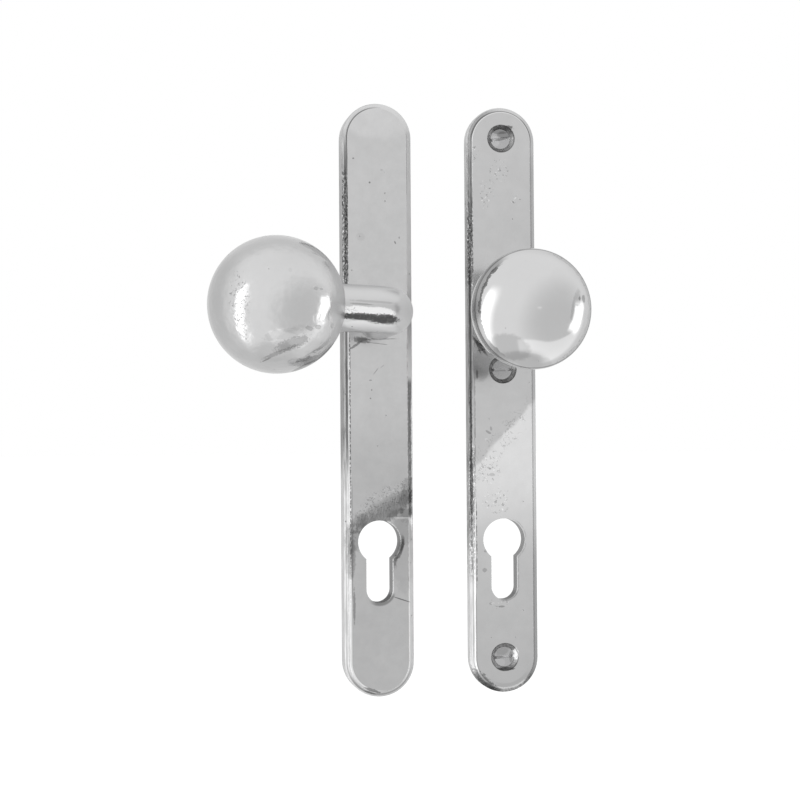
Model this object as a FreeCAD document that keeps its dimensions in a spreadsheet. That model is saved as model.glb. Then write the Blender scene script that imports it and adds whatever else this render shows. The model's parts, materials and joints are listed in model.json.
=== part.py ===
import FreeCAD, Part
import math
import os
import re

import Sketcher
from FreeCAD import Vector

# Security door handle set for a narrow-stile door, in millimetres.
# Two long plates stand side by side, fronts facing -Y and backs in the plane Y = 0.
# The outer plate, at X = 0, carries a fixed ball knob on a cranked neck.
# The inner plate, at X = plate_spacing, carries a turning mushroom knob with a square spindle.
# The origin is on the outer plate's back face, on the axis of the neck's foot.

SIZES = {
    # Both plates
    "plate_width": 28.6,
    "plate_length": 242.7,
    "plate_foot": 63.1,
    "plate_bevel": 2.2,
    "plate_spacing": 52.8,
    "outer_thickness": 10.8,
    "inner_thickness": 7.0,
    # Lock cylinder cut-out
    "cylinder_drop": 92.0,
    "cylinder_radius": 8.75,
    "leg_width": 10.8,
    "cutout_height": 33.6,
    # Through screws, in the inner plate
    "top_screw_inset": 13.1,
    "middle_screw_drop": 21.5,
    "bottom_screw_inset": 14.6,
    "screw_radius": 2.5,
    "screw_shank_radius": 2.25,
    "screw_length": 40.0,
    "screw_thread_length": 24.0,
    "screw_head_radius": 4.2,
    "screw_recess": 1.5,
    "screw_play": 0.2,
    "screw_tip": 0.6,
    "slot_width": 1.1,
    "slot_depth": 1.0,
    "slot_overrun": 0.4,
    "slot_turn_top": 9.0,
    "slot_turn_middle": 2.0,
    "slot_turn_bottom": 5.0,
    # Threaded bushes, let into the outer plate's back and standing out of it into the door
    "bush_radius": 4.5,
    "bush_seat": 7.0,
    "bush_reach": 12.0,
    "bush_chamfer": 0.5,
    "tapped_radius": 2.1,
    "tapped_depth": 10.0,
    # Fits
    "seat_gap": 0.05,
    "running_gap": 0.05,
    "end_play": 0.1,
    # Anti-drill plate and its screws
    "guard_width": 23.0,
    "guard_length": 54.0,
    "guard_thickness": 3.0,
    "guard_corner": 4.0,
    "guard_gap": 0.15,
    "guard_setback": 0.3,
    "guard_screw_inset": 5.0,
    "guard_screw_radius": 1.5,
    "guard_screw_head": 2.75,
    "guard_screw_length": 8.0,
    "guard_tap_allowance": 0.5,
    "guard_hex": 2.0,
    "guard_hex_depth": 1.2,
    # Cranked neck and its screws
    "neck_radius": 9.25,
    "neck_seat": 1.0,
    "riser_length": 29.5,
    "bend_radius": 11.0,
    "arm_length": 36.35,
    "arm_lean": 6.0,
    "arm_rise": 2.1,
    "neck_screw_spread": 10.4,
    "neck_screw_radius": 2.5,
    "neck_screw_head": 4.4,
    "neck_screw_length": 20.0,
    "neck_hex": 3.0,
    "neck_hex_depth": 1.8,
    "tapping_allowance": 2.0,
    # Ball knob and its stud
    "ball_radius": 26.5,
    "neck_reach": 23.2,
    "stud_radius": 4.0,
    "stud_length": 24.0,
    "stud_in_ball": 12.0,
    # Journal, bearing and retainer of the turning knob
    "journal_radius": 8.0,
    "journal_recess": 0.2,
    "ring_lip": 0.5,
    "ring_groove": 0.5,
    "ring_thickness": 1.0,
    "ring_slack": 0.05,
    "ring_width": 2.4,
    "ring_opening": 5.0,
    "ring_lug": 1.5,
    "ring_eye": 0.6,
    "washer_thickness": 0.8,
    "washer_play": 0.2,
    "flange_thickness": 0.8,
    "flange_radius": 11.8,
    "bearing_radius": 10.2,
    "counterbore_gap": 0.2,
    "thrust_thickness": 0.8,
    "thrust_radius": 11.8,
    # Mushroom knob
    "collar_radius": 12.0,
    "collar_height": 2.0,
    "shank_radius": 9.4,
    "flare_radius": 12.5,
    "head_stand": 49.2,
    "rim_radius": 23.4,
    "rim_height": 2.0,
    "rim_taper": 0.1,
    "groove_depth": 0.5,
    "groove_height": 0.5,
    "head_radius": 23.5,
    "head_widest": 54.2,
    "shoulder_radius": 3.0,
    "dome_height": 12.5,
    # Square spindle and its grub screw
    "spindle_side": 8.0,
    "spindle_reach": 32.0,
    "spindle_chamfer": 0.8,
    "socket_depth": 22.0,
    "socket_end_gap": 0.5,
    "grub_radius": 2.5,
    "grub_length": 5.0,
    "grub_stand": 9.0,
    "grub_hex": 2.5,
    "grub_hex_depth": 2.5,
}

# Where things lie, worked out from the sizes above
OUTER_FRAME = "placement(vector(0; 0; 0); rotationx(90))"
INNER_FRAME = "placement(vector(plate_spacing; 0; 0); rotationx(90))"
NECK_FRAME = "placement(vector(0; 0; 0); rotationy(arm_rise) * rotationx(90))"

PLATE_BOTTOM = "(-cylinder_drop - plate_foot)"
PLATE_TOP = f"({PLATE_BOTTOM} + plate_length)"
PLATE_TOP_CENTRE = f"{PLATE_TOP} - plate_width / 2"
PLATE_BOTTOM_CENTRE = f"{PLATE_BOTTOM} + plate_width / 2"
CUTOUT_BOTTOM = "(cylinder_radius - cylinder_drop - cutout_height)"
CUTOUT_MIDDLE = "(cylinder_radius - cylinder_drop - cutout_height / 2)"
GUARD_SCREW_OFFSET = "(guard_length / 2 - guard_screw_inset)"

FIXINGS = {
    "top": (f"{PLATE_TOP} - top_screw_inset", "slot_turn_top"),
    "middle": ("-middle_screw_drop", "slot_turn_middle"),
    "bottom": (f"{PLATE_BOTTOM} + bottom_screw_inset", "slot_turn_bottom"),
}

NECK_FOOT = "(outer_thickness - neck_seat)"
BEND_START = "(outer_thickness + riser_length)"
BEND_END_X = "(-bend_radius * (1 - sin(arm_lean)))"
BEND_END_Z = f"({BEND_START} + bend_radius * cos(arm_lean))"
TIP_X = f"({BEND_END_X} - (arm_length - neck_reach) * cos(arm_lean))"
TIP_Z = f"({BEND_END_Z} + (arm_length - neck_reach) * sin(arm_lean))"
BALL_X = f"({BEND_END_X} - arm_length * cos(arm_lean))"
BALL_Z = f"({BEND_END_Z} + arm_length * sin(arm_lean))"

RING_BOTTOM = "(journal_recess + ring_lip + ring_slack)"
WASHER_BOTTOM = f"({RING_BOTTOM} + ring_thickness + end_play)"
FLANGE_BOTTOM = f"({WASHER_BOTTOM} + washer_thickness)"
COUNTERBORE_DEPTH = f"({FLANGE_BOTTOM} + flange_thickness)"
KNOB_SHOULDER = "(inner_thickness + thrust_thickness + end_play)"

# What still counts as nothing: a length on the axis, a height off a flat face, a volume cut away
NO_LENGTH = 1e-9
NO_HEIGHT = 1e-6
NO_VOLUME = 1e-3

parts = []


def formula(text):
    """The same formula with the sheet's name in front of each of its dimensions."""
    return re.sub(r"[a-z][a-z_]*", lambda word: "Dims." + word[0] if word[0] in SIZES else word[0], text)


def value(text):
    """What a formula comes to with the sheet's present sizes."""
    return float(sheet.evalExpression(formula(text)))


def bind(thing, name, text):
    """Tie one property to the sheet."""
    thing.setExpression(name, formula(text))


def new_body(node, placement):
    """A body named after its node, standing where the formula says."""
    body = doc.addObject("PartDesign::Body", node)
    body.Label = node
    bind(body, "Placement", placement)
    parts.append(body)
    return body


def new_sketch(body, name, height="0", role="XY_Plane"):
    """A sketch on one of the body's own origin planes, lifted off it by height."""
    sketch = body.newObject("Sketcher::SketchObject", f"{body.Name}_{name}")
    plane = next(plane for plane in body.Origin.OriginFeatures if plane.Role == role)
    sketch.AttachmentSupport = (plane, [""])
    sketch.MapMode = "FlatFace"
    bind(sketch, "AttachmentOffset.Base.z", height)
    return sketch


def relate(sketch, kind, *where):
    """A constraint with no size."""
    sketch.addConstraint(Sketcher.Constraint(kind, *where))


def dimension(sketch, kind, where, text):
    """A constraint whose size is tied to the sheet."""
    number = sketch.addConstraint(Sketcher.Constraint(kind, *where, value(text)))
    bind(sketch, f"Constraints[{number}]", text)


def place_point(sketch, geometry, point, x, y):
    """Hold a point of the sketch at x, y from the sketch's origin."""
    for kind, axis, text in (("DistanceX", -2, x), ("DistanceY", -1, y)):
        size = value(text)
        if abs(size) < NO_LENGTH:
            relate(sketch, "PointOnObject", geometry, point, axis)
        elif size > 0:
            dimension(sketch, kind, (-1, 1, geometry, point), text)
        else:
            dimension(sketch, kind, (geometry, point, -1, 1), f"-({text})")


def circle(sketch, radius, x="0", y="0"):
    """A full circle."""
    centre = Vector(value(x), value(y), 0)
    index = sketch.addGeometry(Part.Circle(centre, Vector(0, 0, 1), value(radius)))
    place_point(sketch, index, 3, x, y)
    dimension(sketch, "Radius", (index,), radius)
    return index


def arc(centre_x, centre_y, radius, start, end):
    """An arc drawn anticlockwise between two angles in degrees, from numbers."""
    ring = Part.Circle(Vector(centre_x, centre_y, 0), Vector(0, 0, 1), radius)
    return Part.ArcOfCircle(ring, math.radians(start), math.radians(end))


def arc_between(start, end, radius, turn):
    """The shorter arc from start to end: turn is 1 where it bends left, -1 right."""
    chord = end - start
    left = Vector(-chord.y, chord.x, 0).normalize()
    rise = math.sqrt(max(radius**2 - (chord.Length / 2) ** 2, 0))
    centre = (start + end) / 2 + left * rise * turn
    first, last = (start, end) if turn > 0 else (end, start)
    begin = math.degrees(math.atan2(first.y - centre.y, first.x - centre.x))
    finish = math.degrees(math.atan2(last.y - centre.y, last.x - centre.x))
    return arc(centre.x, centre.y, radius, begin, finish if finish > begin else finish + 360)


def outline(sketch, corners, arcs=None, closed=True):
    """Straight edges through the corners. An edge named in arcs is an arc: (radius, turn)."""
    arcs = arcs or {}
    points = [Vector(value(x), value(y), 0) for x, y in corners]
    edges = []
    for number in range(len(points) if closed else len(points) - 1):
        start = points[number]
        end = points[(number + 1) % len(points)]
        if number in arcs:
            radius, turn = arcs[number]
            index = sketch.addGeometry(arc_between(start, end, value(radius), turn))
            edges.append((index, 1, 2) if turn > 0 else (index, 2, 1))
        else:
            edges.append((sketch.addGeometry(Part.LineSegment(start, end)), 1, 2))
    for number, (x, y) in enumerate(corners):
        if number < len(edges):
            geometry, point, _ = edges[number]
        else:
            geometry, _, point = edges[-1]
        if closed or 0 < number < len(edges):
            before, _, before_end = edges[number - 1]
            relate(sketch, "Coincident", before, before_end, geometry, point)
        place_point(sketch, geometry, point, x, y)
    for number, (radius, _) in arcs.items():
        dimension(sketch, "Radius", (edges[number][0],), radius)


def rectangle(sketch, half_width, low, high, corner=None):
    """A rectangle about the vertical axis, with rounded corners if a radius is given."""
    if corner is None:
        outline(sketch, [(f"-({half_width})", low), (half_width, low),
                         (half_width, high), (f"-({half_width})", high)])
        return
    inner = f"({half_width}) - ({corner})"
    lower = f"({low}) + ({corner})"
    upper = f"({high}) - ({corner})"
    outline(
        sketch,
        [(f"-({inner})", low), (inner, low), (half_width, lower), (half_width, upper),
         (inner, high), (f"-({inner})", high), (f"-({half_width})", upper), (f"-({half_width})", lower)],
        {number: (corner, 1) for number in (1, 3, 5, 7)},
    )


def hexagon(sketch, across_flats):
    """A hexagon about the sketch's origin."""
    side = f"({across_flats}) / 2 / cos(30)"
    outline(sketch, [(f"{side} * cos({60 * corner})", f"{side} * sin({60 * corner})") for corner in range(6)])


def round_ended_outline(sketch, half_width, top_centre, bottom_centre):
    """Two straight sides joined by a half circle at each end."""
    half, top, bottom = value(half_width), value(top_centre), value(bottom_centre)
    upper = sketch.addGeometry(arc(0, top, half, 0, 180))
    left = sketch.addGeometry(Part.LineSegment(Vector(-half, top, 0), Vector(-half, bottom, 0)))
    lower = sketch.addGeometry(arc(0, bottom, half, 180, 360))
    right = sketch.addGeometry(Part.LineSegment(Vector(half, bottom, 0), Vector(half, top, 0)))
    for before, after in ((upper, left), (left, lower), (lower, right), (right, upper)):
        relate(sketch, "Tangent", before, 2, after, 1)
    place_point(sketch, upper, 3, "0", top_centre)
    place_point(sketch, lower, 3, "0", bottom_centre)
    dimension(sketch, "Radius", (upper,), half_width)
    relate(sketch, "Equal", upper, lower)


def cylinder_outline(sketch, grow="0"):
    """The keyhole-shaped outline of a profile lock cylinder: a circle with a leg below it."""
    radius_text, half_text = f"cylinder_radius + {grow}", f"leg_width / 2 + {grow}"
    leg_centre = f"{CUTOUT_BOTTOM} + leg_width / 2"
    radius, half = value(radius_text), value(half_text)
    centre_y, leg_y = value("-cylinder_drop"), value(leg_centre)
    reach = math.degrees(math.asin(half / radius))
    meet_y = centre_y - math.sqrt(radius**2 - half**2)
    head = sketch.addGeometry(arc(0, centre_y, radius, reach - 90, 270 - reach))
    left = sketch.addGeometry(Part.LineSegment(Vector(-half, meet_y, 0), Vector(-half, leg_y, 0)))
    foot = sketch.addGeometry(arc(0, leg_y, half, 180, 360))
    right = sketch.addGeometry(Part.LineSegment(Vector(half, leg_y, 0), Vector(half, meet_y, 0)))
    relate(sketch, "Coincident", head, 2, left, 1)
    relate(sketch, "Tangent", left, 2, foot, 1)
    relate(sketch, "Tangent", foot, 2, right, 1)
    relate(sketch, "Coincident", right, 2, head, 1)
    relate(sketch, "Vertical", left)
    relate(sketch, "Vertical", right)
    place_point(sketch, head, 3, "0", "-cylinder_drop")
    place_point(sketch, foot, 3, "0", leg_centre)
    dimension(sketch, "Radius", (head,), radius_text)
    dimension(sketch, "Radius", (foot,), half_text)


def pad(body, name, sketch, length):
    """Thicken a sketch along its own normal."""
    feature = body.newObject("PartDesign::Pad", f"{body.Name}_{name}")
    feature.Profile = sketch
    bind(feature, "Length", length)
    doc.recompute()
    return feature


def revolve(body, name, sketch):
    """Turn a sketch once round the body's Z axis."""
    feature = body.newObject("PartDesign::Revolution", f"{body.Name}_{name}")
    feature.Profile = sketch
    feature.ReferenceAxis = (sketch, ["V_Axis"])
    feature.Angle = 360
    doc.recompute()
    return feature


def cut_must_bite(body, name, before):
    """Stop if a cut took nothing away."""
    if body.Shape.Volume > before - NO_VOLUME:
        raise RuntimeError(f"{body.Name}: {name} cuts nothing")


def pocket(body, name, sketch, depth=None, along_normal=False):
    """Cut a sketch into the body, against its normal unless told otherwise."""
    before = body.Shape.Volume
    feature = body.newObject("PartDesign::Pocket", f"{body.Name}_{name}")
    feature.Profile = sketch
    feature.Reversed = along_normal
    if depth is None:
        feature.Type = "ThroughAll"
    else:
        bind(feature, "Length", depth)
    doc.recompute()
    cut_must_bite(body, name, before)
    return feature


def countersunk_holes(body, name, sketch, radius, mouth_radius):
    """Through holes with a right-angled cone at the mouth, one at each circle of the sketch."""
    before = body.Shape.Volume
    feature = body.newObject("PartDesign::Hole", f"{body.Name}_{name}")
    feature.Profile = sketch
    doc.recompute()
    feature.Threaded = False
    feature.DepthType = "ThroughAll"
    feature.HoleCutType = "Countersink"
    feature.HoleCutCustomValues = True
    bind(feature, "Diameter", f"2 * ({radius})")
    bind(feature, "HoleCutDiameter", f"2 * ({mouth_radius})")
    feature.HoleCutCountersinkAngle = 90
    doc.recompute()
    cut_must_bite(body, name, before)
    return feature


def flat_face_name(feature, height):
    """The name of the feature's flat face square to Z at that height."""
    for number, face in enumerate(feature.Shape.Faces, 1):
        box = face.BoundBox
        if box.ZLength < NO_HEIGHT and abs(box.ZMax - height) < NO_HEIGHT:
            return f"Face{number}"
    raise RuntimeError(f"{feature.Name}: no flat face at {height}")


def chamfer_end(body, name, feature, height, size):
    """Bevel the edges of the flat face at that height."""
    before = body.Shape.Volume
    face = flat_face_name(feature, value(height))
    bevel = body.newObject("PartDesign::Chamfer", f"{body.Name}_{name}")
    bevel.Base = (feature, [face])
    bind(bevel, "Size", size)
    doc.recompute()
    cut_must_bite(body, name, before)
    return bevel


def plate(node, frame, thickness):
    """A long round-ended plate with a bevelled front, ready for its holes."""
    body = new_body(node, frame)
    sketch = new_sketch(body, "outline")
    round_ended_outline(sketch, "plate_width / 2", PLATE_TOP_CENTRE, PLATE_BOTTOM_CENTRE)
    slab = pad(body, "slab", sketch, thickness)
    chamfer_end(body, "bevel", slab, thickness, "plate_bevel")
    sketch = new_sketch(body, "cutout", thickness)
    cylinder_outline(sketch)
    pocket(body, "cutout_cut", sketch)
    return body


def outer_plate():
    """Thick cast plate: recesses behind for the guard and the bushes, a seat in front for the neck."""
    body = plate("outer_plate", OUTER_FRAME, "outer_thickness")

    sketch = new_sketch(body, "guard_recess")
    low = f"{CUTOUT_MIDDLE} - guard_length / 2 - guard_gap"
    high = f"{CUTOUT_MIDDLE} + guard_length / 2 + guard_gap"
    rectangle(sketch, "guard_width / 2 + guard_gap", low, high, "guard_corner + guard_gap")
    pocket(body, "guard_recess_cut", sketch, "guard_thickness", along_normal=True)

    sketch = new_sketch(body, "guard_taps", "guard_thickness")
    for side in (1, -1):
        circle(sketch, "guard_screw_radius + seat_gap", "0", f"{CUTOUT_MIDDLE} + {side} * {GUARD_SCREW_OFFSET}")
    depth = "guard_screw_length - guard_thickness + guard_tap_allowance"
    pocket(body, "guard_taps_cut", sketch, depth, along_normal=True)

    sketch = new_sketch(body, "bush_seats")
    for height, _ in FIXINGS.values():
        circle(sketch, "bush_radius + seat_gap", "0", height)
    pocket(body, "bush_seats_cut", sketch, "bush_seat", along_normal=True)

    sketch = new_sketch(body, "neck_seat", "outer_thickness")
    circle(sketch, "neck_radius + seat_gap")
    pocket(body, "neck_seat_cut", sketch, "neck_seat")

    sketch = new_sketch(body, "neck_holes", "0", "XY_Plane")
    bind(sketch, "AttachmentOffset", "placement(vector(0; 0; 0); rotationx(180))")
    for side in (1, -1):
        circle(sketch, "neck_screw_radius + screw_play", "0", f"{side} * neck_screw_spread / 2")
    countersunk_holes(body, "neck_holes_cut", sketch, "neck_screw_radius + screw_play",
                      "neck_screw_head + seat_gap")


def guard_plate():
    """Hardened steel plate let into the outer plate's back round the lock cylinder."""
    body = new_body("anti_drill_plate", OUTER_FRAME)
    sketch = new_sketch(body, "outline")
    low = f"{CUTOUT_MIDDLE} - guard_length / 2"
    high = f"{CUTOUT_MIDDLE} + guard_length / 2"
    rectangle(sketch, "guard_width / 2", low, high, "guard_corner")
    pad(body, "slab", sketch, "guard_thickness")
    sketch = new_sketch(body, "cutout", "guard_thickness")
    cylinder_outline(sketch, "guard_setback")
    pocket(body, "cutout_cut", sketch)
    sketch = new_sketch(body, "holes")
    bind(sketch, "AttachmentOffset", "placement(vector(0; 0; 0); rotationx(180))")
    for side in (1, -1):
        circle(sketch, "guard_screw_radius + screw_play", "0",
               f"-{CUTOUT_MIDDLE} + {side} * {GUARD_SCREW_OFFSET}")
    countersunk_holes(body, "holes_cut", sketch, "guard_screw_radius + screw_play",
                      "guard_screw_head + seat_gap")


def inner_plate():
    """Thinner plate: three countersunk screw holes, a bearing hole and its counterbore behind."""
    body = plate("inner_plate", INNER_FRAME, "inner_thickness")

    sketch = new_sketch(body, "counterbore")
    circle(sketch, "flange_radius + counterbore_gap")
    pocket(body, "counterbore_cut", sketch, COUNTERBORE_DEPTH, along_normal=True)

    sketch = new_sketch(body, "bearing_hole", "inner_thickness")
    circle(sketch, "bearing_radius + seat_gap")
    pocket(body, "bearing_hole_cut", sketch)

    sketch = new_sketch(body, "screw_holes", "inner_thickness")
    for height, _ in FIXINGS.values():
        circle(sketch, "screw_radius + screw_play", "0", height)
    countersunk_holes(body, "screw_holes_cut", sketch, "screw_radius + screw_play",
                      "screw_head_radius + screw_recess + seat_gap")


def countersunk_screw(node, placement, radius, head_radius, length, shank=None):
    """A flat-headed screw, head up, with the top of its head at its own origin.

    A shank is the thinner plain stretch between the head and the thread: (its radius, the thread's length).
    """
    body = new_body(node, placement)
    sketch = new_sketch(body, "half_section", "0", "XZ_Plane")
    corners = [
        ("0", "0"),
        ("0", f"-({length})"),
        (f"{radius} - screw_tip", f"-({length})"),
        (radius, f"-({length}) + screw_tip"),
    ]
    if shank is None:
        corners.append((radius, f"{radius} - {head_radius}"))
    else:
        shank_radius, thread_length = shank
        thread_start = f"{thread_length} - ({length})"
        corners.append((radius, thread_start))
        corners.append((shank_radius, thread_start))
        corners.append((shank_radius, f"{shank_radius} - {head_radius}"))
    corners.append((head_radius, "0"))
    outline(sketch, corners)
    revolve(body, "turned", sketch)
    return body


def hex_socket(body, across_flats, depth, height="0"):
    """A hexagonal key socket, sunk from that height."""
    sketch = new_sketch(body, "socket", height)
    hexagon(sketch, across_flats)
    pocket(body, "socket_cut", sketch, depth)


def plate_screws():
    """Three slotted through screws in the inner plate, their heads sunk below its face."""
    for name, (height, turn) in FIXINGS.items():
        spot = f"vector(plate_spacing; screw_recess - inner_thickness; {height})"
        placement = f"placement({spot}; rotationx(90) * rotationz({turn}))"
        body = countersunk_screw(f"plate_screw_{name}", placement, "screw_radius", "screw_head_radius",
                                 "screw_length", ("screw_shank_radius", "screw_thread_length"))
        sketch = new_sketch(body, "slot")
        outline(sketch, [(f"{across} * (screw_head_radius + slot_overrun)", f"{along} * slot_width / 2")
                         for across, along in ((-1, -1), (1, -1), (1, 1), (-1, 1))])
        pocket(body, "slot_cut", sketch, "slot_depth")


def guard_screws():
    """Two countersunk screws that hold the anti-drill plate from behind."""
    for name, side in (("upper", 1), ("lower", -1)):
        spot = f"vector(0; 0; {CUTOUT_MIDDLE} + {side} * {GUARD_SCREW_OFFSET})"
        body = countersunk_screw(f"anti_drill_screw_{name}", f"placement({spot}; rotationx(-90))",
                                 "guard_screw_radius", "guard_screw_head", "guard_screw_length")
        hex_socket(body, "guard_hex", "guard_hex_depth")


def neck_screws():
    """Two countersunk screws through the outer plate into the neck's foot."""
    for name, side in (("upper", 1), ("lower", -1)):
        spot = f"vector(0; 0; {side} * neck_screw_spread / 2)"
        body = countersunk_screw(f"neck_screw_{name}", f"placement({spot}; rotationx(-90))",
                                 "neck_screw_radius", "neck_screw_head", "neck_screw_length")
        hex_socket(body, "neck_hex", "neck_hex_depth")


def threaded_bushes():
    """Three steel bushes, seated in the outer plate's back, that the through screws screw into."""
    for name, (height, _) in FIXINGS.items():
        body = new_body(f"threaded_bush_{name}", f"placement(vector(0; 0; {height}); rotationx(90))")
        sketch = new_sketch(body, "outline", "-bush_reach")
        circle(sketch, "bush_radius")
        blank = pad(body, "blank", sketch, "bush_reach + bush_seat")
        chamfer_end(body, "end_bevel", blank, "-bush_reach", "bush_chamfer")
        sketch = new_sketch(body, "thread", "-bush_reach")
        circle(sketch, "tapped_radius")
        pocket(body, "thread_cut", sketch, "tapped_depth", along_normal=True)


def knob_neck():
    """Cranked neck: a riser, a bend and a short arm in one piece, swept along its centre line."""
    body = new_body("knob_neck", NECK_FRAME)
    section = new_sketch(body, "section", NECK_FOOT)
    circle(section, "neck_radius")
    route = new_sketch(body, "route", "0", "XZ_Plane")
    outline(route, [("0", NECK_FOOT), ("0", BEND_START), (BEND_END_X, BEND_END_Z), (TIP_X, TIP_Z)],
            {1: ("bend_radius", 1)}, closed=False)
    pipe = body.newObject("PartDesign::AdditivePipe", "knob_neck_pipe")
    pipe.Profile = section
    pipe.Spine = (route, ["Edge1", "Edge2", "Edge3"])
    doc.recompute()

    sketch = new_sketch(body, "foot_taps", NECK_FOOT)
    for side in (1, -1):
        circle(sketch, "neck_screw_radius + seat_gap",
               f"-1 * {side} * neck_screw_spread / 2 * sin(arm_rise)",
               f"{side} * neck_screw_spread / 2 * cos(arm_rise)")
    depth = f"neck_screw_length - {NECK_FOOT} + tapping_allowance"
    pocket(body, "foot_taps_cut", sketch, depth, along_normal=True)

    before = body.Shape.Volume
    depth = "(stud_length - (neck_reach - stud_in_ball) + seat_gap)"
    drill = body.newObject("PartDesign::SubtractiveCylinder", "knob_neck_stud_hole")
    bind(drill, "Radius", "stud_radius + seat_gap")
    bind(drill, "Height", f"{depth} + tapping_allowance")
    spot = f"vector({TIP_X} + {depth} * cos(arm_lean); 0; {TIP_Z} - {depth} * sin(arm_lean))"
    bind(drill, "Placement", f"placement({spot}; rotationy(arm_lean - 90))")
    doc.recompute()
    cut_must_bite(body, "stud hole", before)


def ball_knob():
    """Solid ball with a flat-bottomed socket that takes the neck's end, and a hole for the stud."""
    spot = f"placement(vector({BALL_X}; 0; {BALL_Z}); rotationy(90 + arm_lean))"
    body = new_body("ball_knob", f"{NECK_FRAME} * {spot}")
    mouth = "(neck_radius + seat_gap)"
    floor = "(neck_reach - seat_gap)"
    drill = "(stud_radius + seat_gap)"
    drill_end = "(stud_in_ball - seat_gap)"
    sketch = new_sketch(body, "half_section", "0", "XZ_Plane")
    outline(sketch, [
        ("0", "-ball_radius"),
        ("ball_radius", "0"),
        (mouth, f"sqrt(ball_radius^2 - {mouth}^2)"),
        (mouth, floor),
        (drill, floor),
        (drill, drill_end),
        ("0", drill_end),
    ], {0: ("ball_radius", 1), 1: ("ball_radius", 1)})
    revolve(body, "turned", sketch)


def ball_stud():
    """Headless stud that joins the ball to the neck."""
    spot = f"placement(vector({BALL_X}; 0; {BALL_Z}); rotationy(90 + arm_lean))"
    body = new_body("ball_stud", f"{NECK_FRAME} * {spot}")
    sketch = new_sketch(body, "outline", "stud_in_ball")
    circle(sketch, "stud_radius")
    stud = pad(body, "rod", sketch, "stud_length")
    chamfer_end(body, "tip", stud, "stud_in_ball + stud_length", "screw_tip")


def ring_body(node, inner_radius, outer_radius, bottom, height):
    """A flat ring round the turning knob's axis."""
    body = new_body(node, INNER_FRAME)
    sketch = new_sketch(body, "outline", bottom)
    circle(sketch, outer_radius)
    circle(sketch, inner_radius)
    pad(body, "disc", sketch, height)
    return body


def knob_bearing():
    """Flanged bush in the inner plate that the knob's journal turns in."""
    bore = "journal_radius + running_gap"
    body = ring_body("knob_bearing", bore, "flange_radius", FLANGE_BOTTOM, "flange_thickness")
    sketch = new_sketch(body, "sleeve", COUNTERBORE_DEPTH)
    circle(sketch, "bearing_radius")
    circle(sketch, bore)
    pad(body, "sleeve_pad", sketch, f"inner_thickness - {COUNTERBORE_DEPTH}")


def washers():
    """A thrust washer in front of the plate and a retaining washer behind the bearing."""
    bore = "journal_radius + washer_play"
    ring_body("thrust_washer", bore, "thrust_radius", "inner_thickness", "thrust_thickness")
    ring_body("retaining_washer", bore, "flange_radius", WASHER_BOTTOM, "washer_thickness")


def retaining_ring():
    """Open spring ring with two pierced lugs, in the groove at the journal's end."""
    bore = "(journal_radius - ring_groove + seat_gap)"
    body = ring_body("retaining_ring", bore, f"{bore} + ring_width", RING_BOTTOM, "ring_thickness")
    top = f"{RING_BOTTOM} + ring_thickness"
    lug_x = "(ring_opening / 2 + ring_lug - ring_eye / 2)"
    lug_y = f"({bore} + ring_lug)"
    sketch = new_sketch(body, "lugs", RING_BOTTOM)
    for side in (1, -1):
        circle(sketch, "ring_lug", f"{side} * {lug_x}", lug_y)
    pad(body, "lugs_pad", sketch, "ring_thickness")
    sketch = new_sketch(body, "opening", top)
    rectangle(sketch, "ring_opening / 2", f"{bore} / 2", f"{bore} + 2 * ring_width")
    pocket(body, "opening_cut", sketch)
    sketch = new_sketch(body, "eyes", top)
    for side in (1, -1):
        circle(sketch, "ring_eye", f"{side} * {lug_x}", lug_y)
    pocket(body, "eyes_cut", sketch)


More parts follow.
